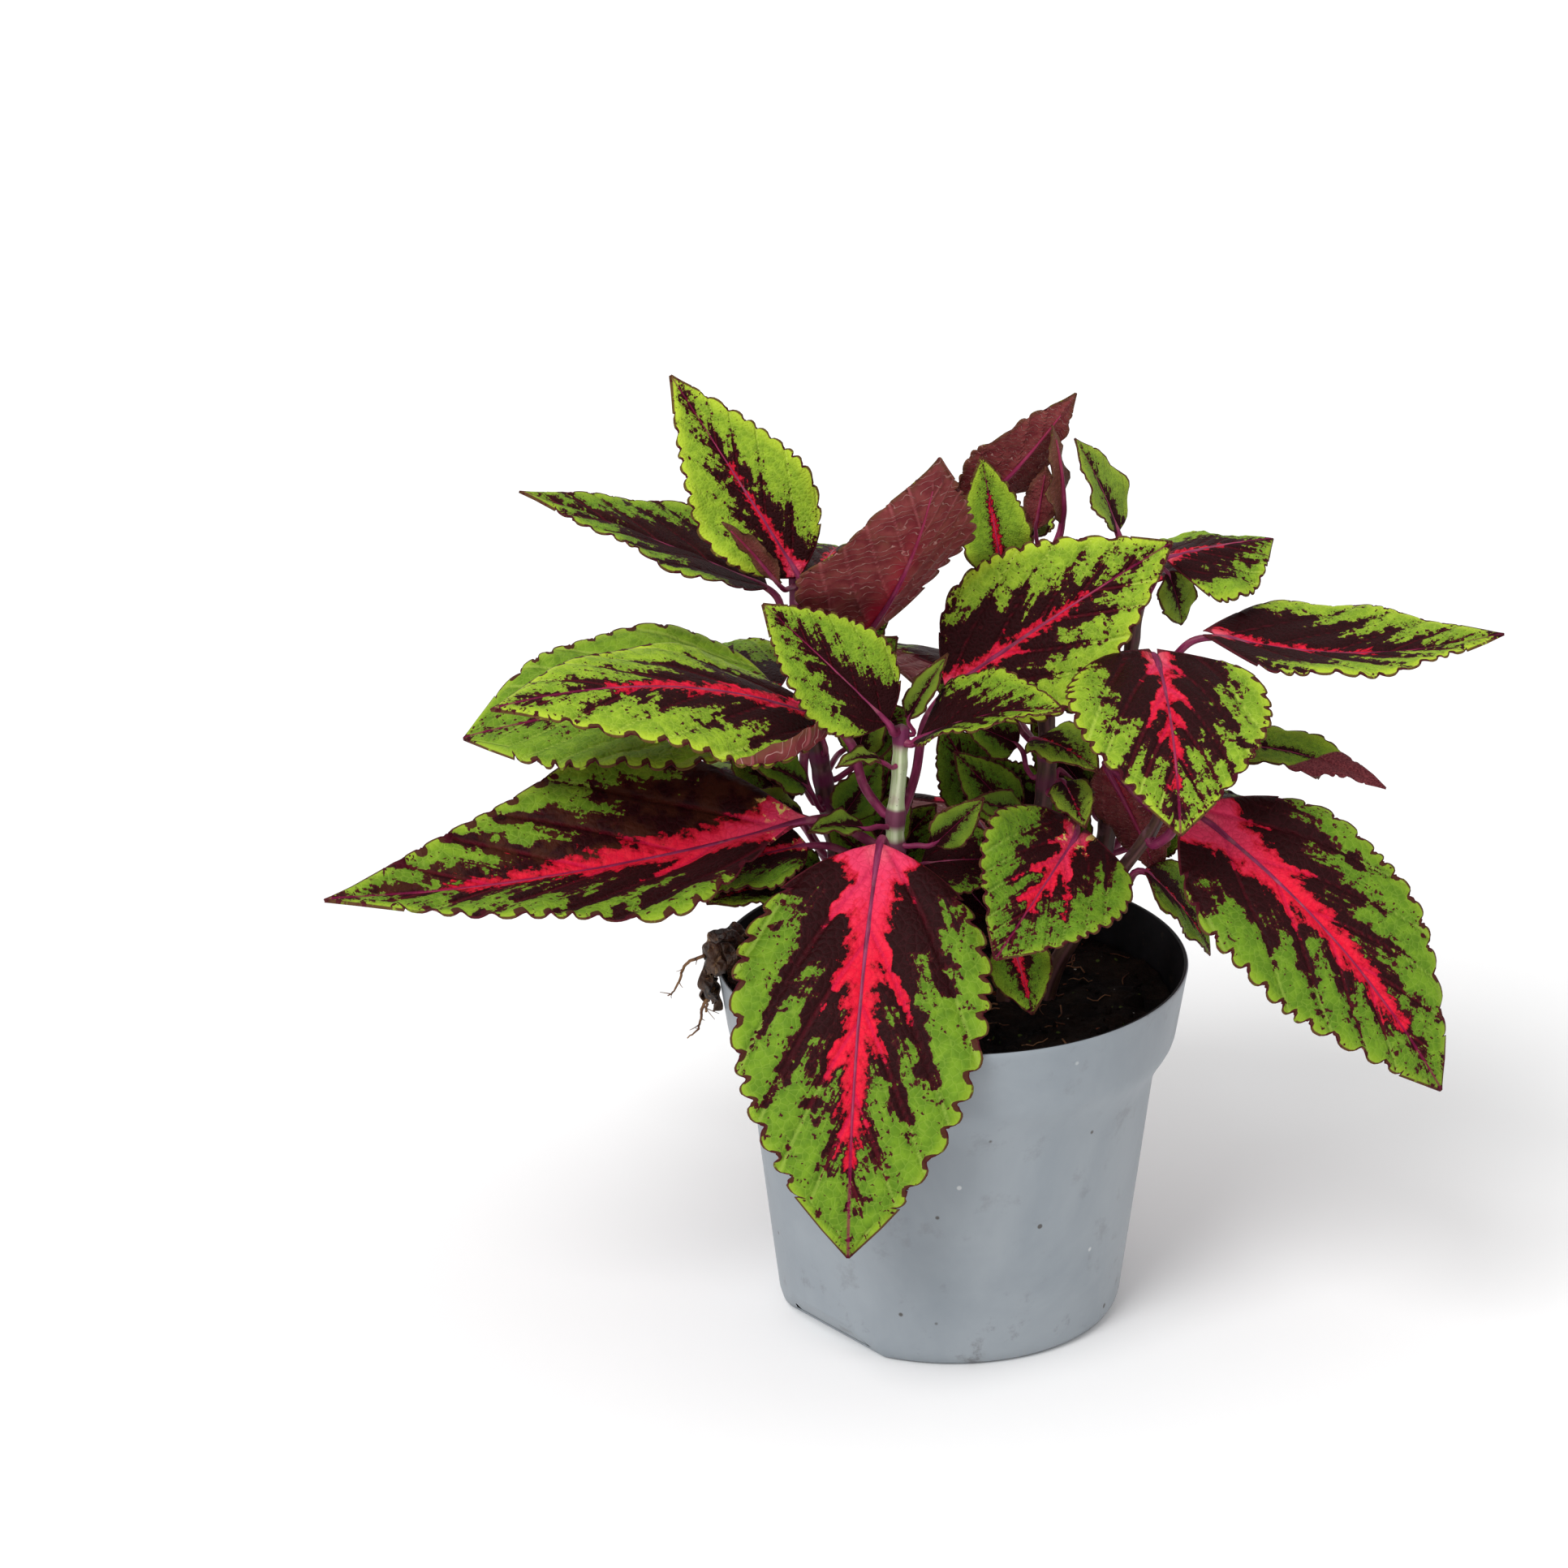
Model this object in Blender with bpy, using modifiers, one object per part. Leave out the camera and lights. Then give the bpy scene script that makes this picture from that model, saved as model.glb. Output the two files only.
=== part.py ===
"""Coleus in a round nursery pot, at its real size.

The origin is the centre of the pot's base, +Z is up and the plant's front looks along -Y.
The design tables are in millimetres, and the meshes are in metres.
"""
import math
import random
from dataclasses import dataclass

import bmesh
import bpy
import numpy as np
from mathutils import Vector

MM = 0.001
GAP = 0.3

# Pot: outer wall as (radius, height), from the rim down to the base
POT_HEIGHT = 94.0
RIM_RADIUS = 59.8
BASE_RADIUS = 41.0
WALL = 1.2
FLOOR = 1.4
POT_OUTER = (
    (RIM_RADIUS, POT_HEIGHT), (57.1, 77.0), (56.4, 74.5), (54.4, 71.0), (52.2, 67.0),
    (51.4, 64.0), (44.6, 9.4), (43.9, 4.0), (42.6, 1.2), (BASE_RADIUS, 0.0),
)
TURN_STEPS = 36
DRAIN_HOLES = 4
DRAIN_HOLE_RADIUS = 3.5
DRAIN_CIRCLE = 24.0
DRAIN_TURN = 39.0
NOTCH_ANGLES = (219.0, 39.0)
NOTCH_HEIGHT = 9.0
NOTCH_RADIUS = 37.0

# Soil: a filled cone that stops short of the rim, with a plain hole for each stem
SOIL_TOP = 82.0
SOIL_SHOULDER = 1.5
SOIL_DOME = 1.5
SOIL_LUMP = 0.6
SOIL_RINGS = (46.0, 32.0, 16.0, 0.0)
SOIL_FOOT = 12.0
SOIL_FOOT_RADIUS = 34.0
HOLE_FLOOR = 45.0
HOLE_SIDES = 8

# Stems: axis points from the foot up, with the radius at the foot and at the tip
STEMS = {
    "stem_front": (((-14, -14, 84), (-15, -14, 132), (-14, -12.5, 150), (-13.5, -12, 163)), 2.5, 1.5),
    "stem_left": (((-22, 8, 84), (-32, 10, 134), (-38, 13, 172), (-40, 14, 193)), 2.6, 1.4),
    "stem_centre": (((14, -2, 84), (23, -1, 143), (21, 13, 172), (17, 26, 198)), 2.6, 1.4),
    "stem_right": (((20, 14, 84), (37, 13, 114), (41, 12, 145), (47, 13, 195)), 2.6, 1.4),
    "stem_right_low": (((24, 1, 84), (37, -4, 112), (50, -9, 134), (52, -8, 143)), 2.3, 1.3),
}

# Leaf blades: outline, cut edge and thickness
BLADE = 0.7
WIDEST = 0.37
TEETH_FROM = 0.10
TEETH_TO = 0.95
TOOTH_DEPTH = 0.024
LOBE_AT = 0.55
BASE_HALF = 1.0
TIP_HALF = 0.5
GREEN = (0.20, 0.36, 0.05)
PURPLE = (0.22, 0.06, 0.06)
# Leaves that turn their purple underside to the front
TURNED_UP = ("leaf_upper_centre", "leaf_top_right", "leaf_upright_purple", "leaf_hanging_purple")


@dataclass
class Leaf:
    """One leaf: where it grows, where its blade starts and ends, and how the blade is bent."""
    name: str
    stem: str
    node: float
    base: tuple
    tip: tuple
    width: float
    face: tuple
    arch: float = 5.0
    fold: float = 10.0
    curl: float = 0.0
    point: float = 1.75
    wave: float = 1.0
    lobe: float = 0.0
    teeth: int = 9
    wide: bool = False
    stalk: float = 1.0


LEAVES = (
    Leaf("leaf_front_large", "stem_front", 129, (-19, -25, 136), (-27, -81, 49), 65, (0, -0.8, 0.5),
         arch=9, fold=6, curl=3, teeth=9, wide=True, stalk=1.3),
    Leaf("leaf_left_low", "stem_front", 130, (-36, -14, 138), (-156, -42, 128), 73, (0, -0.27, 0.96),
         arch=-4.5, fold=16, point=1.15, teeth=10, wide=True, stalk=1.3),
    Leaf("leaf_left_mid", "stem_front", 139, (-30, -8, 161), (-114, -46, 180), 52, (-0.1, -0.3, 0.95),
         arch=9, fold=-5, curl=2, teeth=8, wide=True, stalk=1.2),
    Leaf("leaf_left_behind", "stem_left", 134, (-42, 8, 159), (-123, 0, 154), 60, (0, -0.26, 0.96),
         arch=5, fold=6, teeth=8, stalk=1.2),
    Leaf("leaf_left_small", "stem_front", 110, (-40, -18, 121), (-62, -26, 120), 20, (0, -0.25, 0.97),
         arch=2, teeth=5),
    Leaf("leaf_young_left", "stem_front", 161, (-17, -17, 165), (-48, -16, 196), 29, (0.1, -0.85, 0.5),
         arch=2, fold=12, teeth=8),
    Leaf("leaf_young_right", "stem_front", 158, (-9, -15, 160), (26, -34, 175), 29, (0, -0.35, 0.93),
         arch=3, fold=22, teeth=7),
    Leaf("leaf_upper_left", "stem_left", 186, (-39, 9, 194), (-71, 26, 241), 33, (0.2, -0.9, 0.3),
         arch=1, fold=10, point=1.4, teeth=8),
    Leaf("leaf_far_left", "stem_left", 178, (-47, 20, 187), (-109, 24, 211), 38, (0.2, -0.1, 0.97),
         arch=1, fold=10, point=1.3, teeth=8),
    Leaf("leaf_upper_centre", "stem_left", 184, (-22, 8, 179.6), (-5, -24, 237), 54, (-0.52, 0.78, 0.35),
         arch=-4, fold=16, lobe=5, teeth=8),
    Leaf("leaf_centre_right", "stem_front", 139, (-2, 7, 164.1), (54, 9, 203.1), 44, (-0.2, -0.9, 0.4),
         arch=4, fold=6, teeth=8, wide=True, stalk=1.2),
    Leaf("leaf_top_centre", "stem_centre", 184, (12.5, 20, 188.6), (6.5, 21, 221.6), 18.5, (0.1, -0.95, 0.2),
         arch=1, teeth=6),
    Leaf("leaf_top_right", "stem_centre", 190, (3, 33, 201), (30, 24, 237), 24, (-0.3, 0.85, 0.4),
         arch=-2, fold=14, teeth=7),
    Leaf("leaf_right_mid", "stem_right", 168, (50, -3, 176.6), (54, -52, 149.2), 52, (0.1, -0.4, 0.9),
         arch=6, fold=4, lobe=3, teeth=8, wide=True, stalk=1.2),
    Leaf("leaf_far_right", "stem_right", 164, (66, 9, 178), (137, 4, 180.5), 43, (0, 0, 1),
         arch=-5, fold=10, lobe=4, teeth=8),
    Leaf("leaf_upper_right", "stem_right", 190, (53, 19, 195), (81, 36, 194), 36, (0, -0.22, 0.96),
         arch=1, fold=-20, teeth=7),
    Leaf("leaf_right_low", "stem_right_low", 131, (61, -18, 140), (120, -52, 81), 55, (0.2, -0.6, 0.8),
         arch=9, fold=7, curl=2, lobe=5, teeth=9, wide=True, stalk=1.3),
    Leaf("leaf_right_behind", "stem_right", 140, (66, 18, 145), (109, 6, 138), 17, (0, -0.3, 0.95),
         arch=4, fold=8, teeth=7),
    Leaf("leaf_front_right", "stem_centre", 134, (30, -20, 136), (9, -56, 118), 42, (0.3, -0.6, 0.75),
         arch=4, fold=12, lobe=5, teeth=8, wide=True, stalk=1.1),
    Leaf("leaf_low_front", "stem_centre", 104, (14, -30, 112), (19, -42, 97), 17, (0, -0.8, 0.6),
         arch=1, teeth=4),
    Leaf("leaf_over_rim", "stem_right_low", 112, (48, -7, 121), (65, -5, 97), 22, (0.6, -0.3, 0.7),
         arch=2, teeth=5),
    Leaf("leaf_upright_right", "stem_right", 193, (41, 22, 201), (30, 27, 224), 16, (0.8, -0.4, 0.3),
         arch=1, teeth=5),
    Leaf("leaf_upright_purple", "stem_centre", 191, (27, 24, 203), (24, 20, 230), 12, (-0.8, 0.3, 0.3),
         arch=-1, teeth=5),
    Leaf("leaf_hanging_purple", "stem_right_low", 138, (38, 2, 146), (51, 2, 121), 19, (0.3, 0.8, 0.4),
         arch=1, teeth=5),
    Leaf("leaf_inner_right", "stem_centre", 149, (20, -8, 157), (35, -25, 155), 18, (0, -0.3, 0.95),
         arch=2, teeth=5),
    Leaf("leaf_inner_low", "stem_centre", 141, (27, -9, 146), (32, -25, 140), 12, (0, -0.5, 0.85),
         arch=1, teeth=4),
    Leaf("leaf_back_left", "stem_left", 144, (-46, 34, 152), (-92, 78, 138), 46, (0, 0.1, 1),
         arch=6, fold=8, teeth=6, stalk=1.1),
    Leaf("leaf_back", "stem_centre", 150, (10, 42, 154), (-8, 104, 128), 50, (0, 0.3, 0.95),
         arch=7, fold=8, teeth=7, stalk=1.2),
    Leaf("leaf_back_right", "stem_right", 132, (58, 34, 136), (98, 84, 109), 48, (0, 0.2, 1),
         arch=6, fold=8, teeth=6, stalk=1.1),
    Leaf("leaf_upper_back_left", "stem_left", 174, (-34, 34, 182), (-28, 78, 176), 36, (0, 0.1, 1),
         arch=3, fold=10, teeth=6),
    Leaf("leaf_upper_back_right", "stem_right", 176, (50, 36, 182), (58, 80, 172), 36, (0, 0.1, 1),
         arch=3, fold=10, teeth=6),
    Leaf("leaf_back_low_left", "stem_left", 114, (-44, 28, 124), (-106, 66, 98), 54, (-0.3, 0.3, 0.9),
         arch=8, fold=7, teeth=7, stalk=1.2),
    Leaf("leaf_back_low", "stem_centre", 110, (4, 40, 120), (12, 102, 66), 56, (0, 0.6, 0.8),
         arch=9, fold=6, teeth=7, stalk=1.2),
    Leaf("leaf_back_low_right", "stem_right", 116, (52, 28, 122), (112, 62, 86), 54, (0.3, 0.3, 0.9),
         arch=8, fold=7, teeth=7, stalk=1.2),
    Leaf("leaf_top_back", "stem_centre", 188, (14, 44, 189), (12, 78, 180), 28, (0, -0.1, 1),
         arch=2, fold=12, teeth=5),
)

# Small leaves of the shoot tips and side shoots, which grow in one piece with their stem
SPRIGS = (
    Leaf("tip_upright", "stem_front", 160, (-12, -12, 164), (-2, -11, 181), 8, (-0.5, -0.8, 0.3),
         arch=0.5, fold=20, teeth=3, stalk=0.6),
    Leaf("tip_curled", "stem_front", 152, (-19, -20, 156), (-30, -25, 156), 7, (0, -0.3, 0.9),
         arch=2, fold=16, teeth=3, stalk=0.6),
    Leaf("side_right", "stem_front", 131, (-5, -18, 133), (7, -22, 147), 11, (0.2, -0.8, 0.5),
         arch=1, fold=14, teeth=3, stalk=0.7),
    Leaf("side_left", "stem_front", 136, (-23, -18, 137), (-37, -21, 137), 9, (0, -0.4, 0.9),
         arch=2, fold=16, teeth=3, stalk=0.7),
    Leaf("tip_folded", "stem_left", 190, (-44, 3, 194), (-58, -4, 213), 7, (0.3, 0.9, 0.1),
         arch=1, fold=26, teeth=3, stalk=0.7),
    Leaf("side_behind", "stem_left", 126, (-38, 4, 131), (-56, -2, 139), 10, (0, -0.4, 0.9),
         arch=2, fold=14, teeth=3, stalk=0.7),
    Leaf("side_inner", "stem_left", 138, (-24, 14, 143), (-20, 15, 163), 13, (-0.2, -0.9, 0.2),
         arch=1, fold=10, teeth=3, stalk=0.8),
    Leaf("tip_left", "stem_centre", 193, (20, 31, 196), (22, 38, 199), 7, (0.3, 0.2, 0.8),
         arch=1, fold=20, teeth=3, stalk=0.6),
    Leaf("tip_back", "stem_right", 187, (46, 19, 189), (44, 26, 192), 6, (0, -0.5, 0.8),
         arch=1, fold=20, teeth=3, stalk=0.6),
    Leaf("side_hanging", "stem_right", 184, (54, 25, 189), (58, 30, 173), 12, (0.4, -0.8, 0.2),
         arch=1, fold=10, teeth=3, stalk=0.7),
    Leaf("low_tip_left", "stem_right_low", 141, (47, -12, 146), (41, -18, 154), 7, (0.3, 0.2, 0.8),
         arch=1, fold=18, teeth=3, stalk=0.6),
    Leaf("low_tip_right", "stem_right_low", 141, (57, -4, 146), (66, 0, 154), 8, (-0.3, -0.1, 0.8),
         arch=1, fold=18, teeth=3, stalk=0.6),
)

# Withered leaf with fine roots, draped over the rim at the left: (radius, height) of its middle line
WITHERED_PATH = ((51, 84), (50, 91), (51.5, 98), (55, 102), (59.5, 100.5), (61.6, 95.5), (59.7, 89), (59.0, 83))
WITHERED_ANGLE = 184.0
WITHERED_WIDTH = 13.0
WITHERED_THICKNESS = 1.2
WITHERED_CRUMPLE = 2.0
# Each root: the leaf's row and place across it, then its points from there
ROOTS = (
    (6, 0.5, ((-3, -1, -5), (-4, -2, -10), (-7, -3, -13))),
    (5, -0.5, ((-5, 1, -3), (-7, 0, -8), (-9, 1, -12))),
    (6, -0.6, ((-2, 1, -6), (-3, 3, -11))),
)
ROOT_RADIUS = 0.45


def clear_scene():
    for item in list(bpy.data.objects):
        bpy.data.objects.remove(item, do_unlink=True)


def new_collection(name):
    collection = bpy.data.collections.new(name)
    bpy.context.scene.collection.children.link(collection)
    return collection


def material(name, colour, roughness=0.5):
    mat = bpy.data.materials.new(name)
    mat.use_nodes = True
    shader = mat.node_tree.nodes["Principled BSDF"]
    shader.inputs["Base Color"].default_value = (*colour, 1.0)
    shader.inputs["Roughness"].default_value = roughness
    shader.inputs["Metallic"].default_value = 0.0
    return mat


def add_object(name, mesh, collection, mat=None):
    item = bpy.data.objects.new(name, mesh)
    collection.objects.link(item)
    if mat:
        mesh.materials.append(mat)
    return item


def evaluated_mesh(item):
    depsgraph = bpy.context.evaluated_depsgraph_get()
    return bpy.data.meshes.new_from_object(item.evaluated_get(depsgraph))


def stem_radius(stem, height):
    points, foot, tip = STEMS[stem]
    share = (height - points[0][2]) / (points[-1][2] - points[0][2])
    return foot + (tip - foot) * min(max(share, 0.0), 1.0)


def stem_axis(stem, height):
    """Point of the stem's axis at a height."""
    points = np.array(STEMS[stem][0], float)
    return np.array([np.interp(height, points[:, 2], points[:, axis]) for axis in range(3)])


def outline(u, point=1.75):
    """Half width of a blade along its length, as a share of the widest half width."""
    near = 1 - (1 - np.clip(u / WIDEST, 0, 1)) ** 2.3
    far = 1 - np.clip((u - WIDEST) / (1 - WIDEST), 0, 1) ** point
    return np.where(u < WIDEST, near ** 0.8, far)


def notch(leaf, u):
    """Depth of the cut edge, from 0 on a tooth to 1 between two teeth."""
    along = np.clip((u - TEETH_FROM) / (TEETH_TO - TEETH_FROM), 0, 1) * leaf.teeth
    share = along - np.floor(along)
    inside = (u > TEETH_FROM) & (u < TEETH_TO)
    return np.where(inside, (1 - np.sin(np.pi * share ** 1.16)) ** 1.6, 0.0)


def unit(vectors):
    return vectors / np.linalg.norm(vectors, axis=-1, keepdims=True)


def blade_points(leaf, u, v):
    """Points of the blade's middle surface, in mm: u runs from base to tip, v from edge to edge."""
    base = np.array(leaf.base, float)
    chord = np.array(leaf.tip, float) - base
    length = np.linalg.norm(chord)
    axis = chord / length
    face = np.array(leaf.face, float)
    face = unit(face - axis * np.dot(face, axis))
    u = np.asarray(u, float)[..., None]
    v = np.asarray(v, float)[..., None]
    middle = base + chord * u + face * leaf.arch * 4 * u * (1 - u)
    along = unit(chord + face * leaf.arch * 4 * (1 - 2 * u))
    side = unit(np.cross(along, face))
    up = np.cross(side, along)
    share = outline(u, leaf.point)
    smooth = leaf.width / 2 * share
    half = np.maximum(smooth, BASE_HALF + (TIP_HALF - BASE_HALF) * u)
    cut = TOOTH_DEPTH * length * notch(leaf, u) * np.clip(2.2 * share, 0, 1)
    across = v * (half - cut * np.abs(v) ** 6)
    reach = np.abs(across)
    fold = np.radians(leaf.fold)
    rise = reach * np.sin(fold) - leaf.curl * (reach / (leaf.width / 2)) ** 2
    ripple = leaf.wave * np.sin(2 * np.pi * (2.6 * u + 0.23 * np.sign(v))) * np.abs(v) ** 2 * share
    back = leaf.lobe * np.abs(v) ** 1.5 * np.clip(1 - u / 0.4, 0, 1) ** 2
    return middle + side * across * np.cos(fold) + up * (rise + ripple) - along * back


def blade_rows(leaf):
    """Stations along the blade: one between teeth and one on each tooth."""
    step = (TEETH_TO - TEETH_FROM) / leaf.teeth
    rows = [0.0, TEETH_FROM * 0.45]
    for tooth in range(leaf.teeth):
        rows += [TEETH_FROM + tooth * step, TEETH_FROM + (tooth + LOBE_AT) * step]
    return rows + [TEETH_TO, 1.0]


def blade_object(leaf, collection):
    """Solid blade: a grid shaped by the blade's formula, split into triangles and thickened."""
    rows = blade_rows(leaf)
    columns = (-1.0, -0.6, 0.0, 0.6, 1.0) if leaf.wide else (-1.0, 0.0, 1.0)
    grid = bmesh.new()
    bmesh.ops.create_grid(grid, x_segments=len(rows) - 1, y_segments=len(columns) - 1, size=1.0)
    for vert in grid.verts:
        row = round((vert.co.x + 1) / 2 * (len(rows) - 1))
        column = round((vert.co.y + 1) / 2 * (len(columns) - 1))
        vert.co = Vector(blade_points(leaf, rows[row], columns[column]) * MM)
    bmesh.ops.triangulate(grid, faces=grid.faces, quad_method="SHORT_EDGE")
    mesh = bpy.data.meshes.new(leaf.name)
    grid.to_mesh(mesh)
    grid.free()
    item = add_object(leaf.name, mesh, collection)
    solid = item.modifiers.new("thickness", "SOLIDIFY")
    solid.thickness = BLADE * MM
    solid.offset = 0.0
    return item


def tube_object(name, points, radii, collection, resolution=1):
    """Closed tube through points in mm, made as a bevelled curve and turned into a mesh."""
    curve = bpy.data.curves.new(name, "CURVE")
    curve.dimensions = "3D"
    curve.bevel_depth = MM
    curve.bevel_resolution = resolution
    curve.use_fill_caps = True
    spline = curve.splines.new("POLY")
    spline.points.add(len(points) - 1)
    for place, point, radius in zip(spline.points, points, radii):
        place.co = (*(np.array(point, float) * MM), 1.0)
        place.radius = radius
    guide = add_object(name + "_curve", curve, collection)
    mesh = evaluated_mesh(guide)
    bpy.data.objects.remove(guide, do_unlink=True)
    weld = bmesh.new()
    weld.from_mesh(mesh)
    bmesh.ops.remove_doubles(weld, verts=weld.verts, dist=0.00001)
    weld.to_mesh(mesh)
    weld.free()
    return add_object(name, mesh, collection)


def bezier(points, share):
    a, b, c, d = (np.array(point, float) for point in points)
    rest = 1 - share
    return a * rest ** 3 + 3 * b * share * rest ** 2 + 3 * c * share ** 2 * rest + d * share ** 3


def stalk_object(leaf, collection, sunk=False):
    """Leaf stalk from its stem to just inside the blade."""
    foot = stem_axis(leaf.stem, leaf.node)
    rise = unit(stem_axis(leaf.stem, leaf.node + 1) - stem_axis(leaf.stem, leaf.node - 1))
    base = np.array(leaf.base, float)
    out = unit(base - foot - rise * np.dot(base - foot, rise))
    start = foot + out * (0.3 if sunk else stem_radius(leaf.stem, leaf.node) + GAP + 0.05)
    inner = blade_points(leaf, 0.06, 0.0)
    along = unit(inner - blade_points(leaf, 0.0, 0.0))
    reach = np.linalg.norm(base - start)
    lift = np.array([0, 0, 0.15 * reach])
    bend = start + out * 1.2
    handles = (bend, bend + out * reach * 0.3 + lift, base - along * reach * 0.35, base)
    shares = (0.0, 0.33, 0.7)
    points = [start] + [bezier(handles, share) for share in shares]
    points += [blade_points(leaf, 0.02, 0.0), blade_points(leaf, 0.12, 0.0)]
    radii = [leaf.stalk] * (1 + len(shares)) + [leaf.stalk * 0.8, BLADE * 0.3]
    return tube_object(leaf.name + "_stalk", points, radii, collection, 0 if sunk else 1)


def join(main, others, collection, name, mat):
    """Boolean union of one object with others, applied, as a new object."""
    operands = bpy.data.collections.new(name + "_operands")
    bpy.context.scene.collection.children.link(operands)
    for item in others:
        for owner in list(item.users_collection):
            owner.objects.unlink(item)
        operands.objects.link(item)
    union = main.modifiers.new("union", "BOOLEAN")
    union.operation = "UNION"
    union.operand_type = "COLLECTION"
    union.collection = operands
    union.solver = "EXACT"
    mesh = evaluated_mesh(main)
    mesh.name = name
    for item in [main, *others]:
        bpy.data.objects.remove(item, do_unlink=True)
    bpy.data.collections.remove(operands)
    mesh.materials.clear()
    result = add_object(name, mesh, collection, mat)
    mesh.shade_smooth()
    mesh.set_sharp_from_angle(angle=math.radians(40))
    return result


def turned(name, profile, collection, mat=None):
    """Turned solid from (radius, height) points in mm that run up the inside and down the outside."""
    mesh = bpy.data.meshes.new(name)
    verts = [(radius * MM, 0, height * MM) for radius, height in profile]
    mesh.from_pydata(verts, [(i, i + 1) for i in range(len(verts) - 1)], [])
    item = add_object(name, mesh, collection, mat)
    screw = item.modifiers.new("turn", "SCREW")
    screw.steps = TURN_STEPS
    screw.render_steps = TURN_STEPS
    screw.use_merge_vertices = True
    screw.merge_threshold = 0.00001
    return item


def hide_cutter(item):
    item.hide_render = True
    item.display_type = "WIRE"


def cylinder_cutter(name, place, radius, low, high, cutters, sides=12):
    mesh = bpy.data.meshes.new(name)
    shape = bmesh.new()
    bmesh.ops.create_cone(shape, cap_ends=True, segments=sides, radius1=radius * MM,
                          radius2=radius * MM, depth=(high - low) * MM)
    shape.to_mesh(mesh)
    shape.free()
    item = add_object(name, mesh, cutters)
    item.location = (place[0] * MM, place[1] * MM, (low + high) / 2 * MM)
    hide_cutter(item)
    return item


def notch_cutter(name, angle, cutters):
    """Block whose inner face slants across the pot's bottom corner."""
    size = RIM_RADIUS
    mesh = bpy.data.meshes.new(name)
    shape = bmesh.new()
    bmesh.ops.create_cube(shape, size=size * MM)
    shape.to_mesh(mesh)
    shape.free()
    item = add_object(name, mesh, cutters)
    slant = math.atan2(POT_OUTER[-4][0] - NOTCH_RADIUS, NOTCH_HEIGHT)
    turn = math.radians(angle)
    reach = NOTCH_RADIUS + size / 2 * math.cos(slant)
    item.rotation_euler = (0.0, slant, turn)
    item.location = (reach * math.cos(turn) * MM, reach * math.sin(turn) * MM,
                     -size / 2 * math.sin(slant) * MM)
    hide_cutter(item)
    return item


def cut(item, cutter):
    boolean = item.modifiers.new("cut " + cutter.name, "BOOLEAN")
    boolean.operation = "DIFFERENCE"
    boolean.object = cutter
    boolean.solver = "EXACT"


def inner_wall():
    """Inside of the pot as (radius, height), from the floor up to the rim."""
    wall = [(radius - WALL, height) for radius, height in POT_OUTER[:-3]]
    return [(POT_OUTER[-3][0] - WALL - 1.0, FLOOR)] + wall[::-1]


def build_pot(parts, cutters):
    mat = material("pot_plastic", (0.28, 0.32, 0.36), 0.45)
    profile = [(0.0, FLOOR)] + inner_wall() + list(POT_OUTER) + [(0.0, 0.0)]
    pot = turned("pot", profile, parts, mat)
    for index in range(DRAIN_HOLES):
        turn = math.radians(DRAIN_TURN + 360.0 * index / DRAIN_HOLES)
        place = (DRAIN_CIRCLE * math.cos(turn), DRAIN_CIRCLE * math.sin(turn))
        cut(pot, cylinder_cutter(f"drain_{index}", place, DRAIN_HOLE_RADIUS, -4, 4, cutters))
    for index, angle in enumerate(NOTCH_ANGLES):
        cut(pot, notch_cutter(f"notch_{index}", angle, cutters))


def soil_profile():
    """Soil from its foot's middle out, up the wall and in over its top."""
    wall = [(radius - GAP, height) for radius, height in inner_wall()]
    side = [point for point in wall if SOIL_FOOT < point[1] < SOIL_TOP - 2]
    radii = [radius for radius, _ in wall]
    heights = [height for _, height in wall]
    foot = (float(np.interp(SOIL_FOOT, heights, radii)), SOIL_FOOT)
    edge = SOIL_TOP - SOIL_SHOULDER
    shoulder = (float(np.interp(edge, heights, radii)) - 0.1, edge)
    top = [(radius, SOIL_TOP + SOIL_DOME * (1 - (radius / shoulder[0]) ** 2))
           for radius in SOIL_RINGS]
    up = [(0.0, FLOOR + GAP), (SOIL_FOOT_RADIUS, FLOOR + GAP), foot, *side, shoulder, *top]
    return up[::-1]


def build_soil(parts, cutters):
    mat = material("potting_soil", (0.02, 0.014, 0.01), 0.95)
    guide = turned("soil_guide", soil_profile(), parts)
    mesh = evaluated_mesh(guide)
    bpy.data.objects.remove(guide, do_unlink=True)
    dice = random.Random(5)
    for vert in mesh.vertices:
        if vert.co.z > (SOIL_TOP - SOIL_SHOULDER / 2) * MM:
            vert.co.z += dice.uniform(-SOIL_LUMP, SOIL_LUMP) * MM
    mesh.name = "soil"
    soil = add_object("soil", mesh, parts, mat)
    for name, (points, foot, _) in STEMS.items():
        hole = foot + GAP + 0.15
        cut(soil, cylinder_cutter("hole_" + name, points[0], hole, HOLE_FLOOR, POT_HEIGHT,
                                  cutters, HOLE_SIDES))


def build_stem(name, parts):
    """A stem with the small leaves of its tip and side shoots."""
    points, foot, tip = STEMS[name]
    low = (points[0][0], points[0][1], HOLE_FLOOR + GAP)
    path = [low, *points]
    radii = [foot] + [stem_radius(name, point[2]) for point in points]
    stem = tube_object(name + "_tube", path, radii, parts)
    pieces = []
    for leaf in SPRIGS:
        if leaf.stem == name:
            pieces += [blade_object(leaf, parts), stalk_object(leaf, parts, sunk=True)]
    join(stem, pieces, parts, name, material(name, (0.25, 0.33, 0.16), 0.6))


def build_leaf(leaf, parts):
    colour = PURPLE if leaf.name in TURNED_UP else GREEN
    blade = blade_object(leaf, parts)
    stalk = stalk_object(leaf, parts)
    join(blade, [stalk], parts, leaf.name, material(leaf.name, colour, 0.5))


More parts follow.
